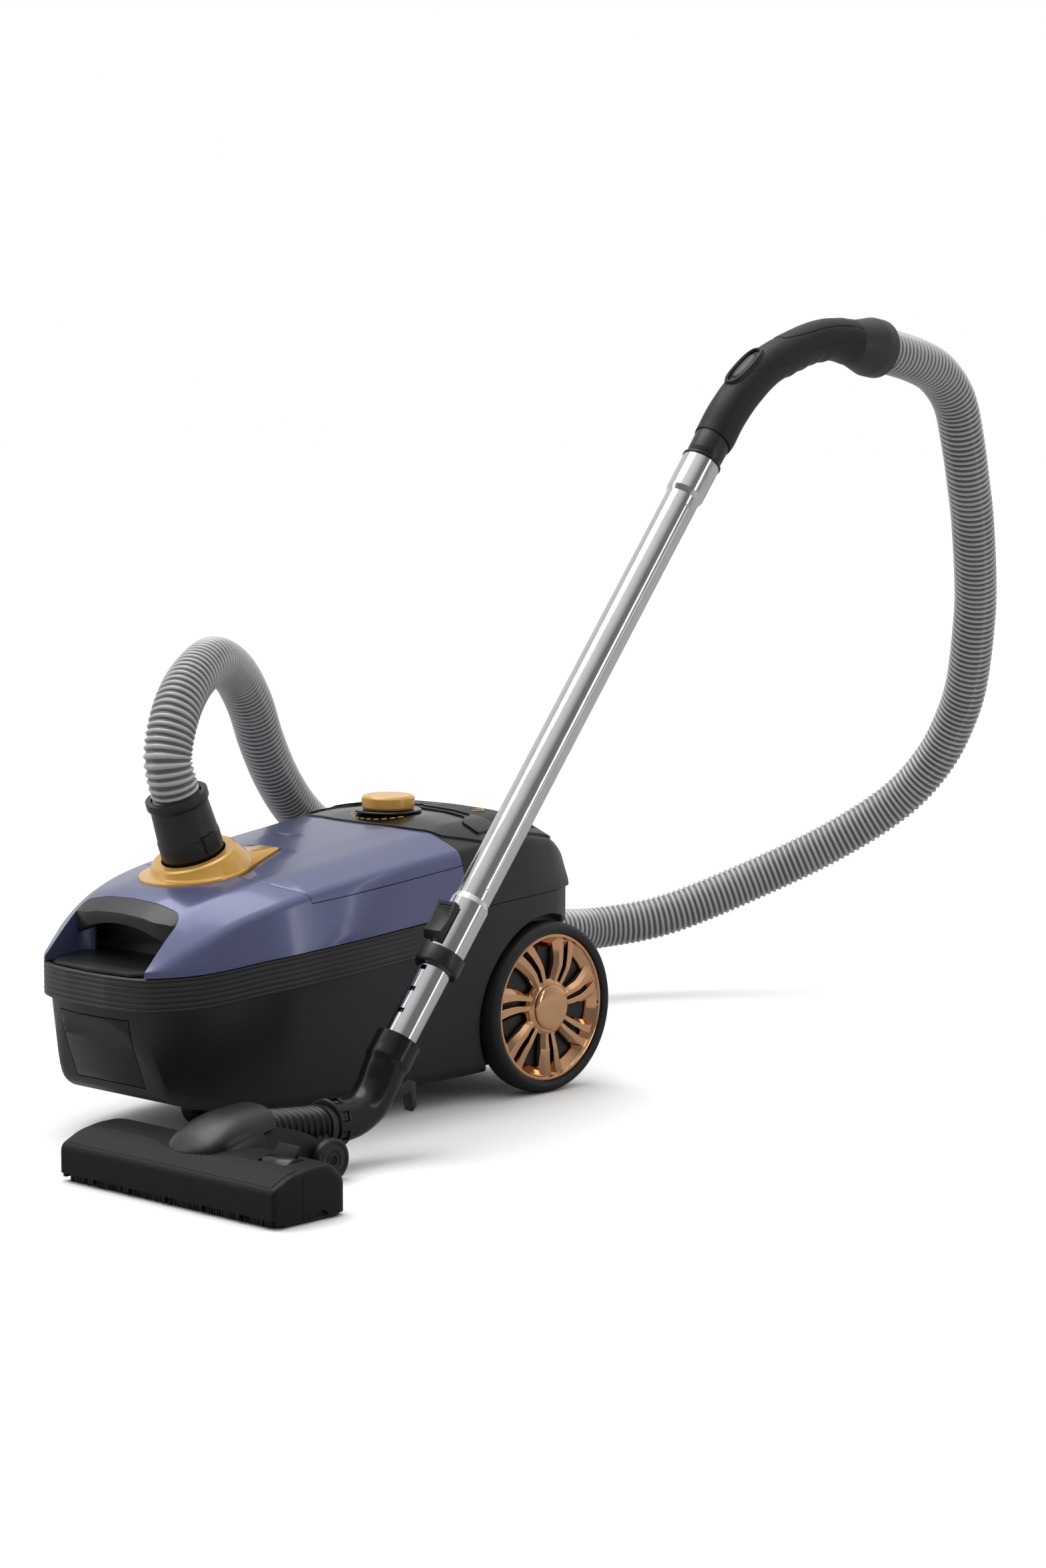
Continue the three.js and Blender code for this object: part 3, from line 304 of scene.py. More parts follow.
def noise(surface, scale, detail=3.0, stretch=(1, 1, 1)):
    """A noise pattern fixed to the object."""
    tree = surface.id_data
    coords = add(tree, "TexCoord")
    mapping = add(tree, "Mapping", Vector=coords.outputs["Object"], Scale=stretch)
    return add(tree, "TexNoise", Vector=mapping.outputs["Vector"], Scale=scale, Detail=detail).outputs["Fac"]


NOISE_LOW, NOISE_HIGH = 0.3, 0.7  # where nearly all of a noise pattern's values lie


def spread(surface, value, low, high):
    """A noise value taken to low to high."""
    return add(surface.id_data, "MapRange", Value=value, From_Min=NOISE_LOW, From_Max=NOISE_HIGH, To_Min=low,
               To_Max=high).outputs["Result"]


def bump(surface, height, strength, distance):
    relief = add(surface.id_data, "Bump", Height=height, Strength=strength, Distance=distance)
    fill(surface, Normal=relief.outputs["Normal"])


def tinted(surface, value, dark, light):
    """The base colour, from dark to light with a noise value."""
    ramp = add(surface.id_data, "ValToRGB", Fac=value)
    for element, place, colour in zip(ramp.color_ramp.elements, (NOISE_LOW, NOISE_HIGH), (dark, light)):
        element.position = place
        element.color = (*colour, 1)
    fill(surface, Base_Color=ramp.outputs["Color"])


def scaled(colour, factor):
    return tuple(min(1, channel * factor) for channel in colour)


def moulded(name, colour, roughness, grain=900.0, depth=0.00006, **sockets):
    """Moulded plastic: a fine spark grain, with slow changes in tone and polish."""
    material, surface = shader(name, colour, roughness, **sockets)
    slow = noise(surface, scale=9.0)
    fill(surface, Roughness=spread(surface, slow, roughness - 0.04, roughness + 0.05))
    tinted(surface, slow, scaled(colour, 0.9), scaled(colour, 1.12))
    bump(surface, noise(surface, grain, detail=1.0), strength=0.35, distance=depth)
    return material


def lacquer(name, colour, light, roughness, flakes=0.3):
    """Satin lacquer with fine metallic flakes under a clear coat."""
    material, surface = shader(name, colour, roughness, flakes, Coat_Weight=0.5, Coat_Roughness=0.12)
    tinted(surface, noise(surface, scale=1600.0, detail=2.0), scaled(colour, 0.93), light)
    bump(surface, noise(surface, scale=260.0, detail=2.0), strength=0.08, distance=0.00004)
    return material


def metal(name, colour, roughness, streak=(1, 1, 1), scale=60.0):
    """Polished or brushed metal with faint streaks."""
    material, surface = shader(name, colour, roughness, metallic=1.0)
    value = noise(surface, scale, detail=4.0, stretch=streak)
    fill(surface, Roughness=spread(surface, value, roughness, roughness + 0.07))
    tinted(surface, value, scaled(colour, 0.93), colour)
    return material


def fleece(name, colour):
    """Filter fleece and card: soft fibres."""
    material, surface = shader(name, colour, 0.95, Sheen_Weight=0.3)
    fibres = noise(surface, scale=420.0, detail=6.0, stretch=(1, 1, 0.3))
    tinted(surface, fibres, scaled(colour, 0.75), scaled(colour, 1.1))
    bump(surface, fibres, strength=0.6, distance=0.0004)
    return material


def hose_vinyl(name, colour):
    """Slightly milky grey vinyl with painted shade in its grooves and painted light on its rib crowns: the
    mesh carries how far each point stands out.
    """
    material, surface = shader(name, colour, 0.25, Subsurface_Weight=0.1, Subsurface_Scale=0.003,
                               Coat_Weight=0.3)
    tree = material.node_tree
    relief = add(tree, "Attribute")
    relief.attribute_name = RELIEF
    groove_shade_mask = add(tree, "Math")
    tree.links.new(relief.outputs["Fac"], groove_shade_mask.inputs[0])
    tree.links.new(spread(surface, noise(surface, scale=14.0), -0.08, 0.08), groove_shade_mask.inputs[1])
    # painted shade and light: groove bottoms get 0.34 of the colour and rib crowns 1.5 of it, with a little
    # random tone added
    tinted(surface, groove_shade_mask.outputs["Value"], scaled(colour, 0.34), scaled(colour, 1.5))
    bump(surface, noise(surface, scale=300.0, detail=2.0), strength=0.15, distance=0.0001)
    return material


# the attribute the vinyl reads to paint shade into the grooves and light onto the rib crowns
RELIEF = "rib_relief"

LOOK = {
    "satin": moulded("black_satin", (0.009, 0.009, 0.010), 0.36),
    "matt": moulded("black_matt", (0.010, 0.010, 0.011), 0.46, grain=1300.0, depth=0.00009,
                   Specular_IOR_Level=0.35),
    "ribbed": moulded("black_ribbed", (0.024, 0.024, 0.025), 0.42),
    "head": moulded("black_head", (0.005, 0.005, 0.0055), 0.5, grain=1300.0, depth=0.00009,
                    Specular_IOR_Level=0.24),
    "gloss": moulded("black_gloss", (0.007, 0.007, 0.008), 0.2, depth=0.000004, Specular_IOR_Level=0.38),
    "lilac": lacquer("lilac", (0.096, 0.106, 0.218), (0.124, 0.137, 0.266), 0.33),
    "gold": lacquer("gold", (0.70, 0.36, 0.06), (0.80, 0.45, 0.09), 0.28, flakes=0.15),
    "copper": metal("copper", (0.78, 0.45, 0.25), 0.06),
    "chrome": metal("chrome", (0.72, 0.72, 0.73), 0.05, (1, 1, 0.05), 90.0),
    "steel": metal("steel", (0.45, 0.46, 0.48), 0.3, (0.1, 1, 1), 300.0),
    "blackened": metal("blackened_steel", (0.05, 0.05, 0.052), 0.34, (0.1, 1, 1), 300.0),
    "rubber": moulded("rubber", (0.014, 0.014, 0.014), 0.6, grain=700.0, depth=0.00012),
    "vinyl": hose_vinyl("vinyl", (0.34, 0.34, 0.345)),
    "paper": fleece("paper", (0.62, 0.56, 0.45)),
}
SLOT_LOOK = {"black_satin": "satin", "black_matt": "matt", "black_gloss": "gloss"}
SLOTS = {look: slot for slot, look in SLOT_LOOK.items()}
SLOTS |= {"blackened": "steel", "ribbed": "black_matt", "head": "black_matt"}

# ---------------- mesh tools


BODY_OF = {child.name: body for body, empty in frame["bodies"].items() for child in empty.children}


def build(name, vertices, faces, look, node="", body="", crease=32):
    """A finished piece from design points: it stands for that CAD node, or only rides on that body."""
    mesh = bpy.data.meshes.new(name)
    mesh.from_pydata([at(*v) for v in vertices], [], faces)
    return finish(name, mesh, look, node, body, crease)


def finish(name, mesh, look, node="", body="", crease=32):
    mesh.validate()
    obj = placed(name, mesh)
    mesh.materials.clear()
    mesh.materials.append(LOOK[look])
    sharpen(mesh, crease)
    if node or body:
        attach(obj, body or BODY_OF[node])
    if node:
        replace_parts(obj, node)
    return obj


def sharpen(mesh, degrees):
    """Smooth shading with hard edges where the surface turns by more than that."""
    work = bmesh.new()
    work.from_mesh(mesh)
    bmesh.ops.recalc_face_normals(work, faces=work.faces)
    for face in work.faces:
        face.smooth = True
    for edge in work.edges:
        edge.smooth = len(edge.link_faces) == 2 and edge.calc_face_angle() < math.radians(degrees)
    work.to_mesh(mesh)
    work.free()


def skin_faces(rows, size, closed_rows=False):
    """Faces between rows of points, each row a closed ring; open rows are capped at both ends."""
    faces = []
    spans = rows if closed_rows else rows - 1
    for i in range(spans):
        here, there = i * size, ((i + 1) % rows) * size
        for j in range(size):
            k = (j + 1) % size
            faces.append((here + j, here + k, there + k, there + j))
    if not closed_rows:
        faces.append(tuple(range(size - 1, -1, -1)))
        faces.append(tuple((rows - 1) * size + j for j in range(size)))
    return faces


def loft(name, rings, look, node="", body="", crease=32, closed_rows=False):
    vertices = [point for ring in rings for point in ring]
    faces = skin_faces(len(rings), len(rings[0]), closed_rows)
    return build(name, vertices, faces, look, node, body, crease)


def square_to(axis):
    """Two directions across an axis, the first as level as can be."""
    axis = Vector(axis).normalized()
    side = Vector(ACROSS if abs(axis.x) < 0.9 else BACKWARD)
    across = (side - axis * side.dot(axis)).normalized()
    return across, axis.cross(across)


def turned_rings(profile, centre, axis, sides):
    axis = Vector(axis).normalized()
    u, v = square_to(axis)
    return [[Vector(centre) + axis * height + (u * math.cos(angle) + v * math.sin(angle)) * radius
             for angle in turns(sides)] for radius, height in profile]


def turned(name, profile, centre, axis, look, node="", body="", sides=64, corner=0.8, closed=True, crease=32):
    """A lathe piece: profile is (radius, height), and one that isn't closed is capped at both ends."""
    outline = ring_rounded(profile, corner, 3) if closed else rounded(profile, corner, 3)
    rings = turned_rings(outline, centre, axis, sides)
    return loft(name, rings, look, node, body, crease, closed)


def swept(name, line, section, look, node, crease):
    """Rings along a line; section(i, share) gives (across, up) points, across being towards +X."""
    rings = []
    side = Vector(ACROSS)
    for i, point in enumerate(line):
        ahead = heading(line, i)
        across = (side - ahead * side.dot(ahead)).normalized()
        up = across.cross(ahead)
        rings.append([point + across * a + up * b for a, b in section(i, i / (len(line) - 1))])
    return loft(name, rings, look, node, crease=crease)


def tool(rings, closed_rows=False):
    """A cutting solid, removed after use."""
    mesh = bpy.data.meshes.new("tool")
    vertices = [at(*point) for ring in rings for point in ring]
    mesh.from_pydata(vertices, [], skin_faces(len(rings), len(rings[0]), closed_rows))
    work = bmesh.new()
    work.from_mesh(mesh)
    bmesh.ops.recalc_face_normals(work, faces=work.faces)
    work.to_mesh(mesh)
    work.free()
    return placed("tool", mesh)


def box_tool(x0, x1, y0, y1, z0, z1):
    return tool([[(x, y, z) for x, y in ((x0, y0), (x1, y0), (x1, y1), (x0, y1))] for z in (z0, z1)])


def boxes_tool(boxes):
    """Several boxes that don't touch, as one cutting solid."""
    first = box_tool(*boxes[0])
    return carve(first, [(ADD, box_tool(*box)) for box in boxes[1:]])


def prism_tool(outline, low, high):
    """A plan outline of (x, y) points drawn up from low to high."""
    return tool([[(x, y, z) for x, y in outline] for z in (low, high)])


def side_tool(outline, x0, x1):
    """A side outline of (y, z) points drawn across from x0 to x1."""
    return tool([[(x, y, z) for y, z in outline] for x in (x0, x1)])


def rod_tool(radius, centre, axis, start, end, sides=64):
    return tool(turned_rings([(radius, start), (radius, end)], centre, axis, sides))


CUT, ADD, KEEP = "DIFFERENCE", "UNION", "INTERSECT"


def carve(obj, steps):
    """Applies (operation, tool) steps in order, and removes each tool."""
    for operation, other in steps:
        modifier = obj.modifiers.new("cut", "BOOLEAN")
        modifier.operation = operation
        modifier.solver = "EXACT"
        modifier.object = other
        bake(obj)
        bpy.data.objects.remove(other)
    return obj


def bake(obj):
    """Puts what the modifiers do into the mesh."""
    depsgraph = bpy.context.evaluated_depsgraph_get()
    result = bpy.data.meshes.new_from_object(obj.evaluated_get(depsgraph))
    obj.modifiers.clear()
    old = obj.data
    obj.data = result
    bpy.data.meshes.remove(old)


def dressed(name, obj, look, node="", body="", bevel=0.0, crease=32):
    """Turns a carved solid into a finished piece, with its edges softened."""
    if bevel:
        modifier = obj.modifiers.new("soften", "BEVEL")
        modifier.width = bevel * MM
        modifier.segments = 2
        modifier.limit_method = "ANGLE"
        modifier.angle_limit = math.radians(40)
        modifier.use_clamp_overlap = True
        bake(obj)
    mesh = obj.data.copy()
    mesh.name = name
    bpy.data.objects.remove(obj)
    return finish(name, mesh, look, node, body, crease)


def softened(node, look):
    """The CAD node's own shape with rounded edges."""
    obj = frame["nodes"][node].copy()
    obj.data = obj.data.copy()
    obj.parent = None
    obj.matrix_world = Matrix.Identity(4)
    bpy.context.scene.collection.objects.link(obj)
    work = bmesh.new()
    work.from_mesh(obj.data)
    bmesh.ops.remove_doubles(work, verts=work.verts, dist=1e-6)
    bmesh.ops.dissolve_limit(work, angle_limit=math.radians(1), verts=work.verts, edges=work.edges)
    work.to_mesh(obj.data)
    work.free()
    return dressed(node + "_soft", obj, look, node, bevel=SOFT_EDGE)


# ---------------- canister skins

STATIONS = 92


def stations():
    """Sections from nose to rear, closer together towards both ends."""
    steps = range(STATIONS + 1)
    shares = [0.25 * i / STATIONS + 0.375 * (1 - math.cos(math.pi * i / STATIONS)) for i in steps]
    return [NOSE_Y + (REAR_Y - NOSE_Y) * share for share in shares]


def canister_solid(front, rear, side, half_ring):
    """A skin moved in by front and rear at its ends and by side(y) at its flanks."""
    length = REAR_Y - NOSE_Y
    squeeze = (length - front - rear) / length
    rings = []
    for y in stations():
        half = half_ring(y, smooth(HALF_WIDTH, y) - side(y))
        placed = NOSE_Y + front + (y - NOSE_Y) * squeeze
        right = [(x, placed, z) for x, z in half]
        left = [(-x, placed, z) for x, z in reversed(half) if x > 0]
        rings.append(right + left)
    return tool(rings)


def hood_half(y, half, inset):
    """The upper body's section: side panel, crease, chamfer facet and crown, from the foot up."""
    foot = band_top(y) - BAND_HEIGHT
    crease = smooth(CREASE_HEIGHT, y) - inset
    crown = smooth(TOP_HEIGHT, y) - inset
    shoulder = half - smooth(CREASE_INSET, y)
    rise = crown - crease
    facets = [(out * shoulder, crease + up * rise) for out, up in CROWN_FACETS]
    corners = [(half, band_top(y)), (half - 1, band_top(y) + 6), (shoulder, crease), *facets, (0, crown)]
    return [(0, foot), (half, foot)] + [(max(0, x), z) for x, z in rounded(corners, 7, 3)]


def hood(inset):
    return canister_solid(inset, inset, lambda _: inset, lambda y, half: hood_half(y, half, inset))


def hood_z(x, y):
    """The height of the upper body's skin above a plan point."""
    half = smooth(HALF_WIDTH, y)
    points = hood_half(y, half, 0)[2:]
    for (x0, z0), (x1, z1) in zip(points, points[1:]):
        if x1 <= abs(x) <= x0:
            share = 0 if x0 == x1 else (abs(x) - x1) / (x0 - x1)
            return z1 + (z0 - z1) * share
    return points[0][1]


def tub(inset):
    def half_ring(y, half):
        foot = smooth(UNDERSIDE, y) + inset
        narrow = half * SIDE_TAPER
        rim = band_top(y) + BAND_HEIGHT
        corners = [(0, foot), (narrow - 6, foot), (narrow, foot + 8), (half, rim - 2 * BAND_HEIGHT),
                   (half, rim)]
        return [(max(0, x), z) for x, z in rounded(corners, 12, 5)] + [(0, rim)]

    def side(y):
        """The tub stands in behind the belt, and comes out flush with the hood at the rear."""
        share = min(1, max(0, (y - FLUSH_FROM) / (FLUSH_TO - FLUSH_FROM)))
        return inset + BAND_DEPTH * (1 - share * share * (3 - 2 * share)) + 0.2

    return canister_solid(BAND_DEPTH + inset, BAND_DEPTH + inset, side, half_ring)


def layer_tool(low, high, y0, y1):
    """Everything between two heights, functions of y, from y0 to y1."""
    ys = [y0 + (y1 - y0) * i / 40 for i in range(41)]
    outline = [(y, low(y)) for y in ys] + [(y, high(y)) for y in reversed(ys)]
    return side_tool(outline, -FAR / 2, FAR / 2)


def band_top(y):
    return smooth(BAND_TOP, y)


def sky(_):
    return FAR


def lid_seam(y):
    return smooth(LID_SEAM, y)


def lid_zone(inset):
    """The lid's region: above its side seam and behind its front edge, slanted back at the sides."""
    front = [(x, y + inset) for x, y in LID_FRONT]
    rear = LID_REAR_Y - inset
    far_x = LID_FRONT[-1][0]
    plan = [(-x, y) for x, y in reversed(front[1:])] + front[1:] + [(far_x, rear), (-far_x, rear)]
    zone = layer_tool(lambda y: lid_seam(y) + inset, sky, LID_FRONT[0][1] - 5, rear)
    return carve(zone, [(KEEP, prism_tool(ring_rounded(plan, 16, 6), 0, FAR))])


def arched_outline(front_y, corners, grow, radius):
    """A plan outline the same on both sides, moved out by grow: a shallow arc, then the right corners."""
    last = len(corners) - 1
    corners = [(x + grow, y + grow if i == last else y) for i, (x, y) in enumerate(corners)]
    half = corners[0][0]
    arc = [(x, front_y - grow + x * x / (2 * DECK_ARC)) for x in (half * (i / 12 - 1) for i in range(25))]
    left = [(-x, y) for x, y in reversed(corners[1:])]
    return ring_rounded(arc + corners[1:] + left, radius)


def deck_outline(grow):
    return arched_outline(DECK_FRONT, DECK_SIDE, grow, 6)


def panel_outline(grow):
    return arched_outline(PANEL_FRONT, PANEL_CORNERS, grow, 4)


def collar_outline(grow):
    reach = COLLAR_R + grow
    turn = math.radians(35)
    sweep = math.pi + 2 * turn
    angles = [turn - sweep * i / COLLAR_STEPS for i in range(COLLAR_STEPS + 1)]
    arc = [(reach * math.cos(a), INLET.y + reach * math.sin(a)) for a in angles]
    return arc + [(-14, COLLAR_TAIL + grow), (14, COLLAR_TAIL + grow)]


def arch_tools(grow):
    return [rod_tool(ARCH_R + grow, AXLE, ACROSS, side * (ARCH_INNER_X - grow), side * FAR, 96)
            for side in (-1, 1)]


def casing(node, look, obj, steps, bevel=0.0):
    """A finished casing of the canister: the solid carved by the steps."""
    dressed(node + "_skin", carve(obj, steps), look, node, bevel=bevel, crease=24)


def crown_casing(node, look, top, under, steps, bevel=0.0):
    """A casing cut from the crown, between two insets of the hood."""
    casing(node, look, hood(top), [(CUT, hood(under))] + steps, bevel)


def column(outline, foot=CROWN_FOOT):
    """A plan outline drawn up through the crown."""
    return prism_tool(outline, foot, FAR)


# ---------------- camera, light and floor

CAMERA_AT = (2875.5, -2789.2, 820.8)
CAMERA_PITCH, CAMERA_TURN = math.radians(90 - 7.2), math.radians(43.5)
CAMERA_LENS, CAMERA_SENSOR = 91.88, 36
CAMERA_REACH = 100  # metres


def make_camera():
    data = bpy.data.cameras.new("camera")
    data.lens = CAMERA_LENS
    data.sensor_width = CAMERA_SENSOR
    data.clip_end = CAMERA_REACH
    camera = placed("camera", data)
    camera.location = at(*CAMERA_AT)
    camera.rotation_euler = (CAMERA_PITCH, 0, CAMERA_TURN)
    bpy.context.scene.camera = camera


def area_light(name, place, target, size, power):
    data = bpy.data.lights.new(name, "AREA")
    data.shape = "RECTANGLE"
    data.size, data.size_y = size
    data.energy = power
    light = placed(name, data)
    light.location = place
    light.rotation_euler = (Vector(target) - Vector(place)).to_track_quat("-Z", "Y").to_euler()


SKY_TOP, SKY_FAR, SKY_NEAR = 1.0, 0.75, 0.1
SKY_NEAR_SHINE = 0.2  # what polished surfaces mirror on the camera's side
SKY_EDGE, SKY_EDGE_SHINE = (0.2, 0.75), (0.62, 0.97)  # where the bright top begins and is full
TOWARDS_CAMERA = (0.688, -0.725, 0)


def make_world():
    """Seen directly it is plain white; as light it is bright overhead and dim on the camera's side."""
    world = bpy.data.worlds.new("studio")
    bpy.context.scene.world = world
    world.use_nodes = True
    tree = world.node_tree
    direction = add(tree, "TexCoord").outputs["Generated"]
    facing = add(tree, "VectorMath")
    facing.operation = "DOT_PRODUCT"
    facing.inputs[1].default_value = TOWARDS_CAMERA
    tree.links.new(direction, facing.inputs[0])
    rays = add(tree, "LightPath").outputs
    shine = rays["Is Glossy Ray"]
    horizon = add(tree, "MapRange", Value=facing.outputs["Value"], From_Min=-0.6, From_Max=0.5,
                  To_Min=SKY_FAR, To_Max=mixed(tree, shine, SKY_NEAR, SKY_NEAR_SHINE))
    start, full = (mixed(tree, shine, *ends) for ends in zip(SKY_EDGE, SKY_EDGE_SHINE))
    height = add(tree, "MapRange", Value=add(tree, "SeparateXYZ", Vector=direction).outputs["Z"],
                 From_Min=start, From_Max=full)
    level = mixed(tree, height.outputs["Result"], horizon.outputs["Result"], SKY_TOP)
    light = fill(tree.nodes["Background"], Color=(1, 1, 1, 1), Strength=level)
    white = add(tree, "Background", Color=(1, 1, 1, 1))
    mix = add(tree, "MixShader", Fac=rays["Is Camera Ray"])
    tree.links.new(light.outputs["Background"], mix.inputs[1])
    tree.links.new(white.outputs["Background"], mix.inputs[2])
    fill(tree.nodes["World Output"], Surface=mix.outputs["Shader"])


FLOOR_HALF = 12.0
FLOOR_SEEN, FLOOR_BOUNCE = 0.97, 0.36


def make_floor():
    """A white sweep; it throws less light back up than it shows, like a floor with dark cards beside it."""
    mesh = bpy.data.meshes.new("floor")
    corners = [(x * FLOOR_HALF, y * FLOOR_HALF, 0) for x, y in ((-1, -1), (1, -1), (1, 1), (-1, 1))]
    mesh.from_pydata(corners, [], [(0, 1, 2, 3)])
    floor = placed("floor", mesh)
    material, surface = shader("floor_white", (FLOOR_SEEN,) * 3, 0.9, Specular_IOR_Level=0.1)
    tree = material.node_tree
    rays = add(tree, "LightPath")
    tone = add(tree, "Mix")
    tone.data_type = "RGBA"
    fill(tone, A=(*(FLOOR_BOUNCE,) * 3, 1), B=(*(FLOOR_SEEN,) * 3, 1), Factor=rays.outputs["Is Camera Ray"])
    fill(surface, Base_Color=tone.outputs["Result"])
    mesh.materials.append(material)


def sun_light(direction, strength, spread_degrees):
    data = bpy.data.lights.new("sun", "SUN")
    data.energy = strength
    data.angle = math.radians(spread_degrees)
    placed("sun", data).rotation_euler = Vector(direction).to_track_quat("-Z", "Y").to_euler()


make_camera()
make_world()
make_floor()
sun_light(direction=(0.35, 0.05, -1), strength=1.6, spread_degrees=50)
area_light("left_window", place=(-2.2, -2.0, 1.6), target=(0, 0, 0.2), size=(1.2, 2.4), power=8)
area_light("right_strip", place=(2.6, 0.9, 0.9), target=(0.1, 0.1, 0.1), size=(0.3, 1.6), power=5)
bpy.context.scene.view_settings.view_transform = "Standard"

# ---------------- hose

HOSE_DEPTH = 2.7
HOSE_SIDES = 40
RIB_SAMPLES = 6


def carried_sides(line, side):
    """A direction across the line, carried along it without twist."""
    sides, last = [], Vector(side)
    for i in range(len(line)):
        ahead = heading(line, i)
        last = (last - ahead * last.dot(ahead)).normalized()
        sides.append((last, ahead.cross(last)))
    return sides


def hose_centre():
    start = [INLET + INLET_AXIS * d for d in (CUFF_LENGTH - 7, CUFF_LENGTH + 18)]
    end = [SOCKET + SOCKET_AXIS * d for d in (12, -6)]
    return even(catmull(start + [Vector(p) for p in HOSE_ROUTE] + end, 24), HOSE_PITCH / RIB_SAMPLES)


def make_hose():
    line = hose_centre()
    rings = []
    for i, (point, (u, v)) in enumerate(zip(line, carried_sides(line, ACROSS))):
        ring = []
        for angle in turns(HOSE_SIDES):
            phase = 2 * math.pi * i / RIB_SAMPLES + angle
            radius = HOSE_R - HOSE_DEPTH * (0.5 + 0.5 * math.cos(phase))
            ring.append(point + (u * math.cos(angle) + v * math.sin(angle)) * radius)
        rings.append(ring)
    vertices = [at(*point) for ring in rings for point in ring]
    # how far each point stands out, which the vinyl uses to paint shade into the grooves and light onto the
    # crowns
    relief = [(HOSE_R - (point - centre).length) / HOSE_DEPTH
              for centre, ring in zip(line, rings) for point in ring]
    mesh = bpy.data.meshes.new("ribbed_hose")
    mesh.from_pydata(vertices, [], skin_faces(len(rings), HOSE_SIDES))
    stands = mesh.attributes.new(RELIEF, "FLOAT", "POINT")
    for item, sunk in zip(stands.data, relief):
        item.value = 1 - sunk
    hose = finish("ribbed_hose", mesh, "vinyl", crease=80)
    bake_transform(hose)
    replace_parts(hose, "hose")


make_hose()

# ---------------- canister casings


def panel_zone(grow):
    """The region of the nose panel, set flush into the tub's front."""
    return box_tool(-PANEL_ZONE_HALF - grow, PANEL_ZONE_HALF + grow, NOSE_Y - 5, PANEL_ZONE_REAR,
                    PANEL_ZONE_LOW - grow, PANEL_ZONE_HIGH + grow)


PANEL_SKIN, PANEL_BACKING = 2.4, 2.8
CASTER = (0, -228, 0)
AXLE_HOLE_R, AXLE_HOLE = 6.4, (60, 130)
EXHAUST_HALF, EXHAUST_LOW, EXHAUST_HIGH = 62, 92, 172
CORD_OUTLET, CORD_OUTLET_R = (-70, 0, 70), 9.4
CASTER_STEM_R, CASTER_WELL_R = 12.4, 30


def make_front_panel():
    casing("front_panel", "gloss", tub(0), [(CUT, tub(PANEL_SKIN)), (KEEP, panel_zone(0))], bevel=0.5)


def bulkhead():
    """The wall between the bag's chamber and the motor's, with the air passage through it."""
    return carve(box_tool(-112, 112, 22, 25, 32, 188),
                 [(KEEP, tub(1)), (CUT, rod_tool(28, (42, 0, 108), BACKWARD, 10, 40))])


def make_base_shell():
    """The tub: open above, arched for the wheels, and bored for the caster, exhaust, cord and axles."""
    below = layer_tool(lambda _: -FAR, lambda y: band_top(y) - SEAM, NOSE_Y - WALL, REAR_Y + WALL)
    body = tub(0)
    hollow = carve(tub(WALL), [(CUT, arch) for arch in arch_tools(WALL)])
    backing = carve(tub(PANEL_BACKING), [(CUT, tub(2 * WALL)), (KEEP, panel_zone(4))])
    rear = (REAR_Y - 40, REAR_Y + 5)
    steps = [(CUT, arch) for arch in arch_tools(0)]
    steps += [(CUT, hollow), (KEEP, below), (CUT, panel_zone(1)), (ADD, backing),
              (CUT, rod_tool(CASTER_STEM_R, CASTER, UP, -5, 60)),
              (CUT, rod_tool(CASTER_WELL_R, CASTER, UP, -5, 46)),
              (ADD, rod_tool(CASTER_WELL_R + WALL, CASTER, UP, 60, 63)), (ADD, bulkhead()),
              (CUT, box_tool(-EXHAUST_HALF, EXHAUST_HALF, *rear, EXHAUST_LOW, EXHAUST_HIGH)),
              (CUT, rod_tool(CORD_OUTLET_R, CORD_OUTLET, BACKWARD, *rear))]
    start, end = AXLE_HOLE
    steps += [(CUT, rod_tool(AXLE_HOLE_R, AXLE, ACROSS, *span)) for span in ((start, end), (-end, -start))]
    casing("base_shell", "satin", body, steps)


BAND_GROOVES, BAND_REAR, BAND_STEP = 6, -25, 4


def band_plan():
    """The plan outline from the right side round the nose to the left, as (point, outward direction)."""
    ys = [BAND_REAR] + [y for y in reversed(stations()) if y < BAND_REAR - 2]
    right = [Vector((smooth(HALF_WIDTH, y), y)) for y in ys]
    line = even(right + [Vector((-p.x, p.y)) for p in reversed(right)], BAND_STEP)
    plan = []
    for i, point in enumerate(line):
        ahead = heading(line, i)
        plan.append((point, Vector((-ahead.y, ahead.x))))
    return plan


def make_bumper_band():
    """The belt follows the body's plan, with level grooves that fade out towards the rear."""
    sections = 61
    edge_share, edge_depth, groove_depth, plain = 0.05, 1.8, 0.9, 0.04
    rings = []
    for point, outward in band_plan():
        top = band_top(point.y) - SEAM
        fade = min(1, max(0, (60 - point.y) / 160))
        outer = []
        for j in range(sections):
            share = j / (sections - 1)
            curve = edge_depth * max(0, 1 - min(share, 1 - share) / edge_share) ** 2
            wave = 0.5 - 0.5 * math.cos(2 * math.pi * (share - plain) / (1 - 2 * plain) * BAND_GROOVES)
            dip = groove_depth * wave ** 4 * fade if plain < share < 1 - plain else 0
            outer.append((-curve - dip, top - (BAND_HEIGHT - SEAM) * share))
        depth = SEAM - BAND_DEPTH
        section = [(depth, top - BAND_HEIGHT + SEAM)] + outer[::-1] + [(depth, top)]
        rings.append([(point.x + outward.x * out, point.y + outward.y * out, z) for out, z in section])
    loft("bumper_band_skin", rings, "ribbed", "bumper_band", crease=50)


RECESS_CORNER = 14
RECESS_LINING = 3.5
# the back's middle is left bare of lilac so the black back wall shows there: a real black part that also
# stands in as painted shade deep in the recess
RECESS_OPEN = RECESS_HALF - RECESS_CORNER  # half width of the black wall seen at the back


def recess_outline(grow):
    """The carrying recess in plan, open at the nose, with rounded back corners."""
    half, back = RECESS_HALF + grow, RECESS_BACK + grow
    outline = [(-half, NOSE_Y - 30), (-half, back), (half, back), (half, NOSE_Y - 30)]
    return rounded(outline, RECESS_CORNER + grow, 6)


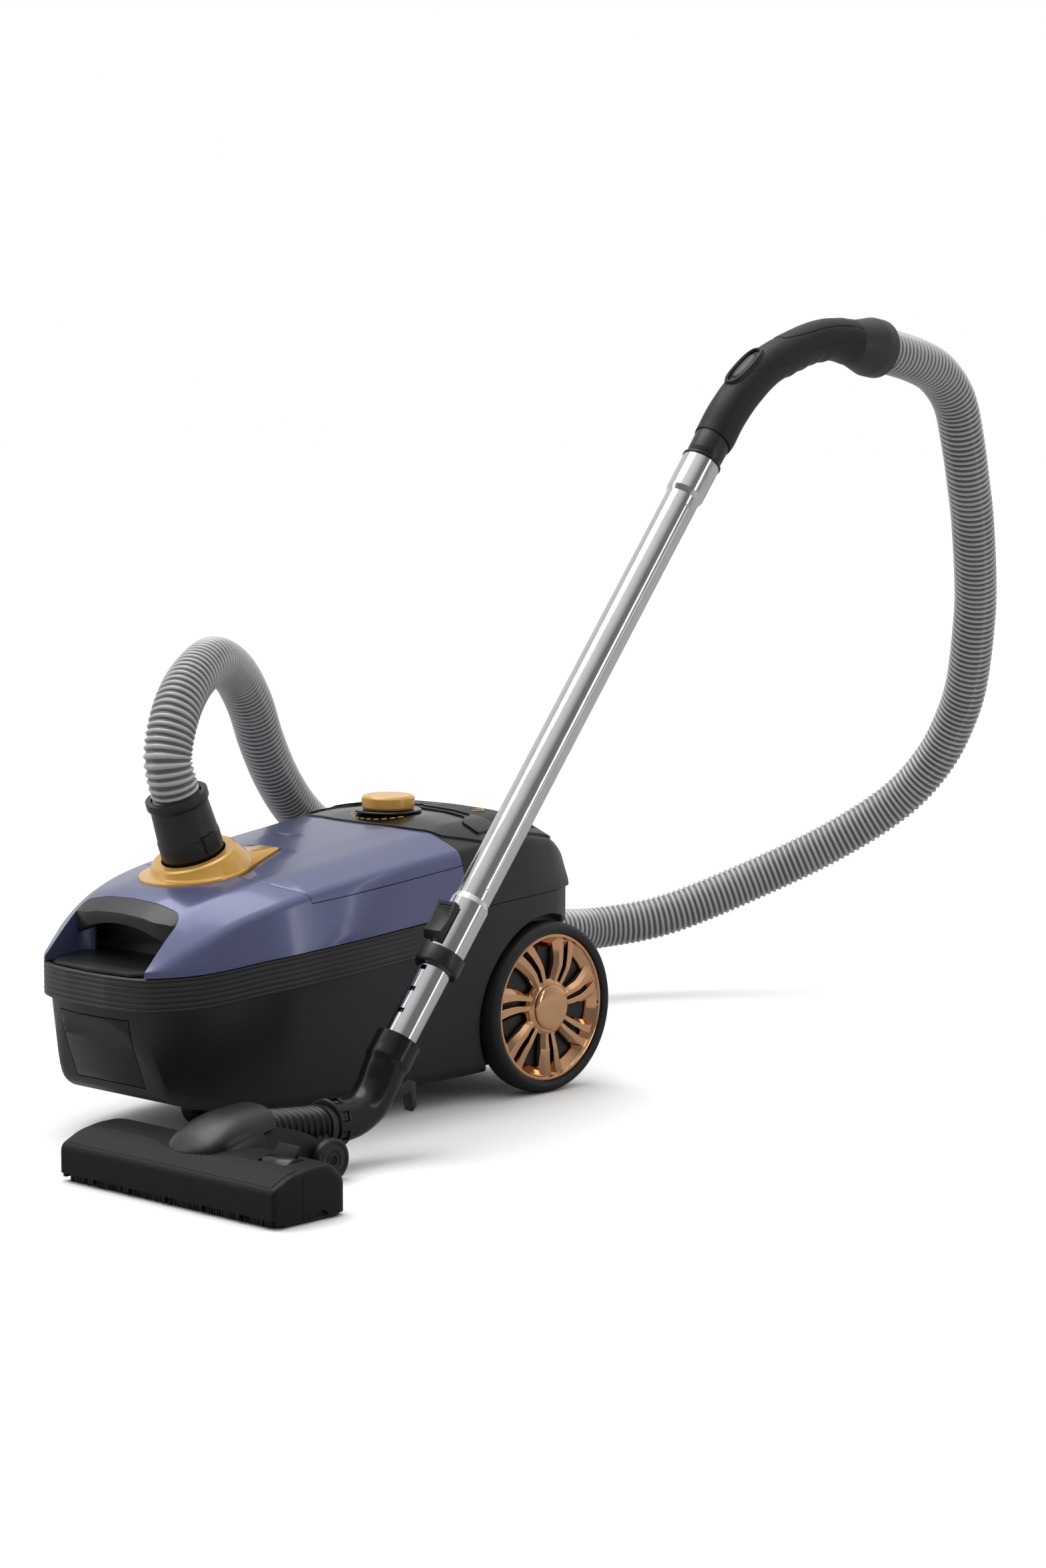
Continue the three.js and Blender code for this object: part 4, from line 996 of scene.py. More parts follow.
def make_front_shell():
    above = layer_tool(lambda y: band_top(y) + SEAM, sky, NOSE_Y - WALL, LID_REAR_Y)
    ledge_y = LID_FRONT[0][1] - 12
    ledge = carve(box_tool(-113, 113, ledge_y, ledge_y + 4, 205, 300), [(KEEP, hood(2))])
    # the lining stops short of the back's middle; the black wall left bare there also serves as painted shade
    # in the recess
    lining = carve(column(recess_outline(RECESS_LINING), 100), [
        (KEEP, hood(0.05)), (KEEP, box_tool(-FAR, FAR, -FAR, RECESS_BACK + 2, 0, FAR)),
        (CUT, box_tool(-RECESS_OPEN, RECESS_OPEN, RECESS_BACK - 1, RECESS_BACK + WALL, 0, FAR))])
    crown_casing("front_shell", "lilac", 0, WALL, [
        (ADD, lining), (KEEP, above), (CUT, lid_zone(-SEAM)), (ADD, ledge),
        (CUT, column(collar_outline(0.3))), (CUT, column(recess_outline(0), 100))])


def make_carry_grip():
    """The black shelf and back wall of the recess, and the bar that carries the crown's line forward; the
    bare back wall also serves as painted shade deep in the recess.
    """
    half = RECESS_HALF - SEAM
    front = [(-half, RECESS_WALL), (-half, -338), (-54, NOSE_Y + 8), (0, NOSE_Y + 3), (54, NOSE_Y + 8),
             (half, -338), (half, RECESS_WALL)]
    shelf = layer_tool(lambda y: band_top(y) + SEAM, lambda y: band_top(y) + WALL, NOSE_Y + 2, RECESS_WALL)
    carve(shelf, [(KEEP, prism_tool(front, 0, FAR))])
    back = box_tool(-half, half, RECESS_WALL - WALL, RECESS_WALL, band_top(RECESS_WALL) + 1, 204)
    plan = [(-half, RECESS_BACK - SEAM), (-half, GRIP_FRONT + 6), (-50, GRIP_FRONT),
            (50, GRIP_FRONT), (half, GRIP_FRONT + 6), (half, RECESS_BACK - SEAM)]
    bar = prism_tool(ring_rounded(plan, 8), *GRIP_SPAN)
    under = box_tool(-half, half, RECESS_BACK - 6, RECESS_WALL, *GRIP_SPAN)
    scoop = tool([[(x, y, z) for x, z in arch_scoop()] for y in (NOSE_Y, RECESS_WALL + 5)])
    carve(bar, [(KEEP, hood(0.2)), (ADD, carve(under, [(KEEP, hood(WALL + SEAM))])), (CUT, scoop)])
    casing("carry_grip", "satin", back, [(ADD, bar), (ADD, shelf)], bevel=1.4)


def arch_scoop():
    """The hand space under the bar, as (x, z): a flat floor and an arched ceiling."""
    half, foot, crown = RECESS_HALF + 5, 190, 210
    arch = [(half * (1 - i / 10), crown - (crown - foot) * (1 - i / 10) ** 2) for i in range(21)]
    return arch + [(-half, 120), (half, 120)]


def make_bag_lid():
    crown_casing("bag_lid", "lilac", 0, WALL, [
        (KEEP, lid_zone(SEAM)), (CUT, column(collar_outline(4.5))),
        (CUT, column(deck_outline(DECK_TRIM + 1))), (CUT, finger_scoop())], 0.5)


def finger_scoop():
    """A triangular hollow for a fingertip on the lid's left half."""
    outline = ring_rounded([(-52, -70), (-14, -83), (-20, -68)], 4, 3)
    middle = Vector((-30, -74))
    foot = [middle + (point - middle) * 0.6 for point in outline]
    surface = hood_z(*middle)
    return tool([[(x, y, surface - 2.4) for x, y in foot], [(x, y, surface + 3) for x, y in outline]])


def make_rear_cover():
    above = layer_tool(lambda y: band_top(y) + SEAM, sky, LID_REAR_Y + SEAM, REAR_Y + WALL)
    crown_casing("rear_cover", "satin", 0, WALL, [
        (KEEP, above), (CUT, column(deck_outline(DECK_TRIM + 0.5)))])


def make_deck_trim():
    holes = (panel_outline(SEAM), pedal_outline(1, 1), pedal_outline(-1, 1))
    crown_casing("deck_trim", "satin", -1.5, WALL + 1, [
        (KEEP, column(deck_outline(DECK_TRIM))), *((CUT, column(hole)) for hole in holes)], 0.9)


def pedal_outline(side, grow):
    grown = [(x + math.copysign(grow, x - 98), y + math.copysign(grow, y - 102)) for x, y in PEDAL_CORNERS]
    return [(side * x, y) for x, y in ring_rounded(grown, 3, 3)]


def make_control_panel():
    crown_casing("control_panel", "gloss", 0, WALL, [
        (KEEP, column(panel_outline(0))), (CUT, rod_tool(5.4, (0, KNOB_Y, 0), UP, CROWN_FOOT, FAR, 32))])


PEDAL_RIBS, RIB_FIRST, RIB_PITCH, RIB_WIDTH, RIB_DEPTH = 14, 92, 4.0, 1.3, 0.7


def make_pedal(side, node):
    """A rocking plate with fine grooves across it, over its stem."""
    grooves = boxes_tool([(*sorted((side * 8, side * 102)), y, y + RIB_WIDTH, CROWN_FOOT, FAR)
                          for y in (RIB_FIRST + RIB_PITCH * i for i in range(PEDAL_RIBS))])
    inside = [(side * x, y) for x, y in ((8, 91), (73, 91), (94, 60), (108, 60), (99, 143), (8, 143))]
    carve(grooves, [(KEEP, column(inside)), (CUT, hood(RIB_DEPTH - 3))])
    stem = box_tool(side * 45 - 4, side * 45 + 4, 96, 104, 258, 281)
    crown_casing(node, "satin", -3, 1, [
        (KEEP, column(pedal_outline(side, 0))), (CUT, grooves), (ADD, stem)], 0.35)


def make_pedal_mark():
    """A plain ring and stroke inlaid on the near pedal."""
    x, y = 56, 112
    place = (x, y, hood_z(x, y) + 3)
    body = BODY_OF["power_pedal"]
    ring = [(7, -0.4), (8.4, -0.4), (8.4, 0.6), (7, 0.6)]
    turned("pedal_mark_ring", ring, place, UP, "gold", body=body, corner=0.2)
    stroke = box_tool(x - 0.7, x + 0.7, y + 1, y + 6, place[2] - 0.4, place[2] + 0.6)
    dressed("pedal_mark_stroke", stroke, "gold", body=body, bevel=0.2)


def make_collar():
    """A cone round the hose mouth on a plate that follows the lid, with a faceted tail."""
    plate, upper = (prism_tool(collar_outline(grow), CROWN_FOOT, CROWN_CEILING) for grow in (0, -0.6))
    body = carve(plate, [(KEEP, hood(-1.6)), (CUT, hood(WALL + 1))])
    profile = [(32, -22), (50, -22), (52.5, -14), (50.5, -8), (42.5, 5), (40, 6.4), (32, 6.4)]
    cone = tool(turned_rings(profile, INLET, INLET_AXIS, 128), closed_rows=True)
    tail = []
    for y, half, lift in ((COLLAR_TAIL - 0.5, 12, 1.7), (-150, 18, 4.6), (-178, 25, 7.5), (-196, 30, 9)):
        foot, top = hood_z(0, y) - 2, hood_z(0, y) + lift
        tail.append([(-half - 4, y, foot), (half + 4, y, foot), (half - 3, y, top), (3 - half, y, top)])
    carve(cone, [(ADD, tool(tail)), (KEEP, upper), (CUT, hood(WALL))])
    casing("inlet_collar", "gold", body,
           [(ADD, cone), (CUT, rod_tool(32.4, INLET, INLET_AXIS, -60, 60, 128))], bevel=0.8)


DIAL_RADIUS = 34
SCALE_RADIUS, SCALE_MARKS, SCALE_FROM, SCALE_SWEEP = 37, 11, 205, 130


def make_knob():
    """The turning knob, the glossy disc under it and the dashed scale round its front."""
    profile = [(0.01, 268), (5, 268), (5, KNOB_BASE), (KNOB_R - 1, KNOB_BASE), (KNOB_R, KNOB_BASE + 2),
               (KNOB_R, KNOB_TOP - 3), (KNOB_R - 2, KNOB_TOP - 0.6), (KNOB_R - 5, KNOB_TOP - 0.6),
               (KNOB_R - 6, KNOB_TOP - 1), (0.01, KNOB_TOP)]
    place = (0, KNOB_Y, 0)
    turned("power_knob_turned", profile, place, UP, "gold", "power_knob", sides=128, corner=0.4, closed=False,
           crease=20)
    disc = [(6, 284), (DIAL_RADIUS, 284), (DIAL_RADIUS, 285.4), (DIAL_RADIUS - 1, 286.2), (6, 286.2)]
    turned("power_dial_base", disc, place, UP, "gloss", body="canister", sides=128, corner=0.3)
    for i in range(SCALE_MARKS):
        angle = math.radians(SCALE_FROM + SCALE_SWEEP * i / (SCALE_MARKS - 1))
        reach = 0.045 + 0.03 * i / (SCALE_MARKS - 1)
        corners = ((-1.2, -1), (-1.2, 1), (1.2, 1), (1.2, -1))
        plan = [((SCALE_RADIUS + out) * math.cos(angle + way * reach),
                 KNOB_Y + (SCALE_RADIUS + out) * math.sin(angle + way * reach)) for out, way in corners]
        rings = [[(x, y, hood_z(x, y) + lift) for x, y in plan] for lift in (-0.3, 0.35)]
        loft("power_scale_%02d" % i, rings, "gold", body="canister")


make_base_shell()
make_front_panel()
make_bumper_band()
make_front_shell()
make_carry_grip()
make_bag_lid()
make_rear_cover()
make_deck_trim()
make_control_panel()
make_pedal(1, "power_pedal")
make_pedal(-1, "rewind_pedal")
make_pedal_mark()
make_collar()
make_knob()

# ---------------- wand


def wand_boxes(boxes):
    """Boxes in the wand's frame, as (side0, side1, out0, out1, from, to)."""
    shapes = []
    for side0, side1, out0, out1, start, end in boxes:
        corners = ((side0, out0), (side1, out0), (side1, out1), (side0, out1))
        shapes.append(tool([[along_wand(distance, out, side) for side, out in corners]
                            for distance in (start, end)]))
    return shapes


KEY_DEPTH, KEY_ANGLE, KEY_HALF = 0.9, math.radians(-16), math.radians(7)
KEY_FROM, KEY_TO = 168, 626
TUBE_SIDES = 180
TUBE_R, TUBE_BORE, FLARE_R, FLARE_BORE = 17.5, 16.3, 19.8, 18.6
NOTCH_FIRST, NOTCH_PITCH, NOTCH_LENGTH, NOTCH_COUNT = 22, 24, 5, 16


def make_outer_tube():
    """A chromed tube, flared at both ends, with a shallow keyway pressed along it."""
    heights = (157, KEY_FROM, KEY_FROM + 2, KEY_TO - 2, KEY_TO, 636)
    outline = [(FLARE_BORE, 88), (FLARE_R, 88), (FLARE_R, 151), *((TUBE_R, height) for height in heights),
               (FLARE_R, 642), (FLARE_R, 680), (FLARE_BORE, 680), (FLARE_BORE, 643), (TUBE_BORE, 637),
               (TUBE_BORE, 156), (FLARE_BORE, 150)]
    rings = turned_rings(outline, WAND, WAND_AXIS, TUBE_SIDES)
    for (radius, height), ring in zip(outline, rings):
        if not (KEY_FROM < height < KEY_TO and radius == TUBE_R):
            continue
        centre = WAND + WAND_AXIS * height
        for i, point in enumerate(ring):
            angle = 2 * math.pi * i / TUBE_SIDES
            away = (angle - KEY_ANGLE + math.pi) % (2 * math.pi) - math.pi
            if abs(away) < KEY_HALF:
                ring[i] = centre + (point - centre) * (1 - KEY_DEPTH / radius)
    loft("outer_tube_drawn", rings, "chrome", "outer_tube", crease=18, closed_rows=True)


WAND_RINGS = (
    ("tube_end_ring", "satin", 0.5,
     [(16.4, 78), (21.5, 78), (22.5, 80), (22.5, 96), (20.2, 96), (20.2, 87.6), (16.4, 87.6)]),
    ("tube_top_ring", "gloss", 0.4,
     [(18, 680.3), (20.4, 680.3), (20.8, 681), (20.8, 682.6), (20.3, 683.4), (18, 683.4)]),
    ("handle_spigot", "satin", 0.5,
     [(15.7, 642), (17.4, 642), (17.5, 684), (18.6, 690), (18.9, 712), (15.7, 712)]))


def make_tubes():
    profile = [(14.8, -26), (16, -26), (16, 480), (14.8, 480)]
    inner = tool(turned_rings(profile, WAND, WAND_AXIS, 96), closed_rows=True)
    starts = [NOTCH_FIRST + NOTCH_PITCH * i for i in range(NOTCH_COUNT)]
    notches = wand_boxes([(-3.5, 3.5, 14, 18, start, start + NOTCH_LENGTH) for start in starts])
    carve(inner, [(CUT, notch) for notch in notches])
    dressed("inner_tube_drawn", inner, "chrome", "inner_tube", crease=30)
    make_outer_tube()
    for node, look, corner, profile in WAND_RINGS:
        turned(node + "_turned", profile, WAND, WAND_AXIS, look, node, sides=96, corner=corner)


def make_slider():
    """The wedge that unlocks the tubes, with a ribbed thumb face."""
    base = 20.3
    outline = [(base, 100), (base, 139), (base + 8, 139), (base + 5.5, 121), (base + 8, 106), (base + 3, 100)]
    body = tool([[along_wand(distance, out, side) for out, distance in outline] for side in (-11, 11)])
    grooves = wand_boxes([(-8, 8, base + 6.2, base + 12, start, start + 1.2)
                          for start in (125, 128, 131, 134)])
    carve(body, [(CUT, groove) for groove in grooves])
    dressed("lock_slider_moulded", body, "satin", "lock_slider", bevel=1.0)


HANDLE_SIDES = 160
HANDLE_RADII = [(0, 20.2), (0.02, 20.8), (0.3, 20.4), (0.75, 20.4), (0.9, 22), (1, 24.2)]
LOWER_SEAM = [(0.16, 95), (0.27, 70), (0.4, 12), (0.55, -8), (1, -2)]
UPPER_SEAM = [(0.47, 95), (0.56, 66), (0.7, 44), (1, 36)]
SEAM_WIDTH, SEAM_DEPTH = 2.4, 0.8
GRIP_BUMPS = (0.56, 0.64, 0.72, 0.8)


def handle_line():
    return even(catmull([along_wand(708)] + [Vector((WAND.x, y, z)) for y, z in HANDLE_LINE], 12), 2.2)


def handle_radius(share, degrees):
    """How far the grip's skin stands from its centre line; degrees run from the +X side upwards."""
    radius = linear(HANDLE_RADII, share)
    side = degrees if degrees <= 90 else 180 - degrees
    for seam in (LOWER_SEAM, UPPER_SEAM):
        if share > seam[0][0]:
            radius -= SEAM_DEPTH * max(0, 1 - abs(side - smooth(seam, share)) / SEAM_WIDTH)
    under = max(0, -math.sin(math.radians(degrees))) ** 3
    bumps = sum(max(0, 1 - ((share - bump_at) / 0.036) ** 2) for bump_at in GRIP_BUMPS)
    return radius + under * 1.6 * bumps


def make_handle():
    line = handle_line()

    def section(_, share):
        ring = []
        for j in range(HANDLE_SIDES):
            degrees = -90 + 360 * j / HANDLE_SIDES
            radius = handle_radius(share, degrees)
            angle = math.radians(degrees)
            ring.append((radius * math.cos(angle), radius * math.sin(angle)))
        return ring

    swept("handle_grip", line, section, "matt", "handle_body", crease=50)


def make_handle_cover():
    """The inlay on the grip's back, inside the upper seam."""
    line = handle_line()
    start = round(0.56 * len(line))
    steps = 40

    def section(i, _):
        share = (start + i) / (len(line) - 1)
        low = smooth(UPPER_SEAM, share) + 4
        angles = [math.radians(low + (180 - 2 * low) * j / steps) for j in range(steps + 1)]
        skin = linear(HANDLE_RADII, share) + 0.45
        outside = [(skin, a) for a in angles]
        inside = [(skin - 2, a) for a in reversed(angles)]
        return [(radius * math.cos(a), radius * math.sin(a)) for radius, a in outside + inside]

    swept("handle_cover_inlay", line[start:-6], section, "matt", "handle_cover", crease=50)


VENT_FROM, VENT_TO = Vector((238, 296, 718)), Vector((238, 338, 748))
VENT_HALF_WIDTH = 11
VENT_TRAVEL = 4


def make_vent():
    """The bleed vent: an oval frame on the grip's back and the slider inside it."""
    ahead = (VENT_TO - VENT_FROM).normalized()
    side = Vector(ACROSS)
    out = side.cross(ahead)
    if out.z < 0:
        out = -out
    middle = (VENT_FROM + VENT_TO) / 2 - out * 1.6 - ahead * 2
    reach = (VENT_TO - VENT_FROM).length / 2 + 4

    def oval(length, width, height, count=72):
        ring = []
        for x, y in circle(1, count):
            stretch = (abs(x) ** 2.6 + abs(y) ** 2.6) ** (-1 / 2.6)
            ring.append(middle + ahead * (length * x * stretch) + side * (width * y * stretch) + out * height)
        return ring

    frame_profile = [(0, -9), (0, 3), (-1.2, 5), (-3, 5.4), (-4.4, 4.2), (-4.4, -9)]
    rings = [oval(reach + grow, VENT_HALF_WIDTH + 1.4 + grow, height) for grow, height in frame_profile]
    loft("vent_frame", rings, "matt", body="upper_wand", closed_rows=True)
    pad_profile = [(0, -7), (0, 2.4), (-1.2, 3.8), (-3.5, 4.6), (-6, 5), (-7.3, 5.1)]
    pad_reach = reach - VENT_TRAVEL - 4.9
    rings = [oval(pad_reach + grow, VENT_HALF_WIDTH - 3.4 + grow, height) for grow, height in pad_profile]
    loft("vent_slider_pad", rings, "satin", "vent_slider")


def make_socket():
    profile = [(18, -50), (23, -50), (27, -34), (31, -18), (31, -3), (29, 0), (25.6, 0), (25.6, -8), (18, -8)]
    turned("hose_socket_turned", profile, SOCKET, SOCKET_AXIS, "ribbed", "hose_socket", sides=96)


def make_cuff():
    """The swivelling end of the hose: a smooth sleeve, wider at its foot, under a rim."""
    profile = [(22, -16), (30, -16), (30, 8), (31, 9), (31, 26), (30.2, 28), (28.6, 58), (28.8, 60), (31, 62),
               (31, 70), (25, 70), (25, 62), (22, 62)]
    turned("hose_cuff_turned", profile, INLET, INLET_AXIS, "satin", "hose_cuff", sides=128, corner=0.7)


make_tubes()
make_slider()
make_handle()
make_handle_cover()
make_vent()
make_socket()
make_cuff()

# ---------------- wheels


def make_tyre(side, node):
    centre = (side * WHEEL_X, WHEEL_Y, WHEEL_R)
    half = WHEEL_WIDTH / 2
    profile = [(75.4, -half + 2), (81, -half), (86, -half + 4), (87.4, -5), (87.4, 5), (86, half - 4),
               (81, half), (75.4, half - 2)]
    turned("tyre_turned_" + node, profile, centre, (side, 0, 0), "rubber", "tyre_" + node, sides=128,
           corner=2.5)


BAR_ROWS = [20, 27, 34, 41, 44, 51, 58, 65, 71]
BAR_TOP = [(20, 9.2), (44, 12.4), (71, 9.4)]
BAR_SLOT = [(20, 1.0), (30, 2.2), (71, 3.6)]
BAR_WIDTH = [(20, 6.5), (44, 9.5), (71, 15.5)]
BAR_SWAY, BAR_LOW, BAR_FLANK = 0.12, 3.0, 4.5


def wheel_point(side, radius, angle, across, out):
    """A point on a wheel: so far from its axle at an angle, then across that direction, and outwards."""
    y = radius * math.cos(angle) - across * math.sin(angle)
    z = radius * math.sin(angle) + across * math.cos(angle)
    return (side * (WHEEL_X + out), WHEEL_Y + y, WHEEL_R + z)


def make_bar(side, node, spoke, half):
    """Half of a double spoke: flat beside the slot, with a sloping flank towards the window."""
    rings = []
    for radius in BAR_ROWS:
        angle = 2 * math.pi * spoke / SPOKES + math.radians(12) + BAR_SWAY * ((radius - 20) / 51) ** 2
        slot, width, top = linear(BAR_SLOT, radius), linear(BAR_WIDTH, radius), linear(BAR_TOP, radius)
        section = [(slot, BAR_LOW), (slot, top - 0.4), (slot + 0.4, top), (slot + 0.6 * width, top),
                   (slot + width, top - BAR_FLANK), (slot + width, BAR_LOW)]
        rings.append([wheel_point(side, radius, angle, half * across, out) for across, out in section])
    label = "near" if half > 0 else "far"
    loft("spoke_%s_%d_%s" % (node, spoke, label), rings, "copper", body="wheel_" + node, crease=11)


def make_disc(side, node):
    """The wheel's plated face: a flanged rim, a hub, seven double spokes and a dark web behind them."""
    place, body = ((side * WHEEL_X, WHEEL_Y, WHEEL_R), (side, 0, 0)), "wheel_" + node
    rim = [(61, 1.5), (62, 3.4), (70.6, 9.4), (71.8, 11.6), (73, 12), (75, 11.6), (75, -13), (70, -13),
           (70, 1.5)]
    turned("wheel_rim_" + node, rim, *place, "copper", "wheel_disc_" + node, sides=160, corner=0.3, crease=20)
    hub = [(6.5, -13), (23, -13), (23, 2), (31, 4), (29, 8.6), (25, 11), (6.5, 11)]
    turned("wheel_hub_" + node, hub, *place, "copper", body=body, sides=128, corner=0.5, crease=20)
    dome = [(23.2 * math.cos(a), 12.4 + 3.6 * math.sin(a)) for a in (math.pi / 2 * i / 12 for i in range(12))]
    cap = [(0.01, 11.4), (23.2, 11.4)] + dome + [(0.01, 16)]
    turned("hub_cap_dome_" + node, cap, *place, "copper", "hub_cap_" + node, sides=128, corner=0.1,
           closed=False, crease=40)
    web = [(22, -1.5), (70.5, -1.5), (70.5, 0.5), (22, 0.5)]
    turned("wheel_web_" + node, web, *place, "satin", body=body, sides=96, corner=0.2)
    for spoke in range(SPOKES):
        for half in (-1, 1):
            make_bar(side, node, spoke, half)


for side_name, side_sign in (("right", 1), ("left", -1)):
    make_tyre(side_sign, side_name)
    make_disc(side_sign, side_name)

# ---------------- floor head

HEAD_SOLE, HEAD_EDGE, HEAD_RIDGE = 4, 36, 49
PIVOT_R, PIVOT_HALF, PIN_HOLE_R, PIN_R = 15, 22, 4.4, 4
NECK_Z, NECK_FROM, NECK_TO, NECK_SWEEP = 44, -278, -262, 76
HEAD_WHEEL_R = 20.5
HEAD_WHEELS = (("left", 195), ("right", 272))
MID = 238


def end_round(distance, radius):
    """How far a rounded end draws in, that far from the end."""
    if distance >= radius:
        return 0
    return radius - math.sqrt(radius ** 2 - (radius - distance) ** 2)


def head_section(x):
    near_end = min(x - HEAD_LEFT, HEAD_RIGHT - x)
    inset = end_round(near_end, 4)
    front = HEAD_FRONT + inset
    back = HEAD_BACK - end_round(near_end, 14)
    top = HEAD_RIDGE - inset
    corners = [(front, HEAD_SOLE), (front, HEAD_EDGE - 1 - inset), (front + 22, HEAD_EDGE + 9 - inset),
               (front + 46, top), (back - 16, top), (back, top - 15), (back, HEAD_SOLE)]
    return rounded(corners, 6)


def head_top(x, y):
    """The height of the floor head's upper skin."""
    points = head_section(x)
    for (y0, z0), (y1, z1) in zip(points, points[1:]):
        if y0 <= y <= y1 and y1 > y0:
            return z0 + (z1 - z0) * (y - y0) / (y1 - y0)
    return HEAD_RIDGE


def pivot_rod(radius, half, sides=96):
    return rod_tool(radius, (MID, PIVOT.y, PIVOT.z), ACROSS, -half, half, sides)


PEDAL_X, PEDAL_Y, PEDAL_SPAN, PEDAL_DEEP = 336, -424, 34, 22
LIP_DEPTH, LIP_TOP = 4.5, 8.5
POST_FIRST, POST_PITCH, POST_WIDTH, POST_COUNT = 44, 49, 3, 5
END_SEAM = (-441, -440.3)


def make_head_shell():
    ends = [0, 0.5, 1.2, 2.2, 3.2, 4, 6, 9, 14]
    width = HEAD_RIGHT - HEAD_LEFT
    inner = [14 + (width - 28) * i / 60 for i in range(1, 60)]
    xs = [HEAD_LEFT + d for d in ends + inner + [width - d for d in reversed(ends)]]
    body = tool([[(x, y, z) for y, z in head_section(x)] for x in xs])
    seam_cuts = [box_tool(x0, x1, *END_SEAM, -5, FAR)
                 for x0, x1 in ((HEAD_LEFT - 1, HEAD_LEFT + 0.5), (HEAD_RIGHT - 0.5, HEAD_RIGHT + 1))]
    lip = box_tool(HEAD_LEFT - 1, HEAD_RIGHT + 1, HEAD_FRONT - 1, HEAD_FRONT + LIP_DEPTH, -1, LIP_TOP)
    starts = [HEAD_LEFT + POST_FIRST + POST_PITCH * i for i in range(POST_COUNT)]
    posts = boxes_tool([(x, x + POST_WIDTH, HEAD_FRONT - 2, HEAD_FRONT + 6, -2, 9) for x in starts])
    carve(lip, [(CUT, posts)])
    arches = [rod_tool(9, (x, -418, 1), ACROSS, -3, 3, 32) for x in (HEAD_LEFT, HEAD_RIGHT)]
    steps = [(CUT, box_tool(HEAD_LEFT + 4, HEAD_RIGHT - 4, HEAD_FRONT + 4, HEAD_BACK - 4, -1, 30)),
             (CUT, box_tool(MID - 27, MID + 27, HEAD_BACK - 3, 0, -1, FAR)),
             (CUT, pivot_rod(NECK_SWEEP + 2, 27)),
             (CUT, box_tool(MID - 30, MID + 30, -440, -340, HEAD_EDGE + 4, FAR)),
             (CUT, box_tool(PEDAL_X - 18, PEDAL_X + 18, PEDAL_Y - 12, PEDAL_Y + 12, 26, FAR))]
    steps += [(CUT, cut) for cut in seam_cuts + arches + [lip]]
    dressed("head_shell_moulded", carve(body, steps), "head", "head_shell", crease=26)


TEXTURE_PITCH, TEXTURE_LIFT, TEXTURE_STEP = 4.4, 0.9, 0.6
TEXTURE_FRONT, TEXTURE_MARGIN, TEXTURE_SLANTS = -471, 8, (1.3, -1.3)


def texture_rear(x):
    """The textured band's rear edge, bowed forward round the dome and back at the ends."""
    away = abs(x - MID)
    return -438 - 12 * math.exp(-(away / 42) ** 4) - 6 * max(0, (away - 110) / 34) ** 2


def make_head_texture():
    """A lattice of small raised diamonds on the floor head's sloping front."""
    rows = round((HEAD_RIGHT - HEAD_LEFT - 2 * TEXTURE_MARGIN) / TEXTURE_STEP)
    columns = 44
    rings = []
    for i in range(rows + 1):
        x = HEAD_LEFT + TEXTURE_MARGIN + TEXTURE_STEP * i
        rear = texture_rear(x)
        top = []
        for j in range(columns + 1):
            y = TEXTURE_FRONT + (rear - TEXTURE_FRONT) * j / columns
            one, other = (math.sin(math.pi * (x + way * y) / TEXTURE_PITCH) for way in TEXTURE_SLANTS)
            lift = TEXTURE_LIFT * abs(one * other) if 0 < j < columns else 0
            top.append((x, y, head_top(x, y) + 0.05 + lift))
        under = [(x, y, head_top(x, y) - 1) for y in (rear, TEXTURE_FRONT)]
        rings.append(top + under)
    loft("head_texture", rings, "head", body=BODY_OF["head_shell"], crease=70)


COVER_WIDTH = [(-460, 14), (-456, 27), (-448, 38), (-430, 47), (-405, 48), (-384, 44), (-350, 36),
               (-322, 33), (-296, 31)]
COVER_TOP = [(-460, 42), (-446, 46), (-430, 52), (-400, 62), (-370, 67), (-345, 64), (-320, 55), (-296, 36)]
DOME_WIDTH = [(-453, 8), (-450, 20), (-442, 29), (-426, 34), (-405, 35), (-366, 31)]
DOME_TOP = [(-453, 46.5), (-448, 53), (-438, 62), (-420, 70.5), (-404, 74.5), (-385, 76.5), (-366, 77.5)]
DOME_FOOT = [(-453, 44.5), (-430, 49), (-400, 54), (-366, 60)]
HUMP_STEPS = 36


def hump(y, half, low, high, squareness=0.8):
    """A cross-section across X at y, arched from one foot to the other."""
    angles = [math.pi * i / HUMP_STEPS for i in range(HUMP_STEPS + 1)]
    return [(MID + half * squared(math.cos(a), squareness), y, low + (high - low) * math.sin(a) ** squareness)
            for a in angles]


def make_head_cover():
    """The flared skirt over the pivot and the smooth dome on it, a fine gap between them."""
    count = 70
    ys = [-460 + 164 * (i / count) ** 1.2 for i in range(count + 1)]
    skirt = tool([hump(y, smooth(COVER_WIDTH, y), 37 if y < HEAD_BACK else 12, smooth(COVER_TOP, y))
                  for y in ys])
    room = carve(box_tool(MID - 25, MID + 25, HEAD_BACK - 3, -250, 0, FAR),
                 [(KEEP, pivot_rod(NECK_SWEEP + 2, 25))])
    carve(skirt, [(CUT, room), (ADD, pivot_rod(PIN_R, 42, 32))])
    dressed("head_cover_skirt", skirt, "head", "head_cover", crease=40)
    ys = [-453 + 87 * (i / 40) ** 1.5 for i in range(41)]
    dome = tool([hump(y, smooth(DOME_WIDTH, y), smooth(DOME_FOOT, y), smooth(DOME_TOP, y), 0.9)
                 for y in ys])
    carve(dome, [(CUT, pivot_rod(NECK_SWEEP + 2, 25))])
    dressed("head_dome", dome, "satin", body=BODY_OF["head_cover"], crease=40)


GAITER_RIBS, GAITER_DEPTH = 9, 3.2
GAITER_START, GAITER_FROM, GAITER_TO = -360, -356, -286


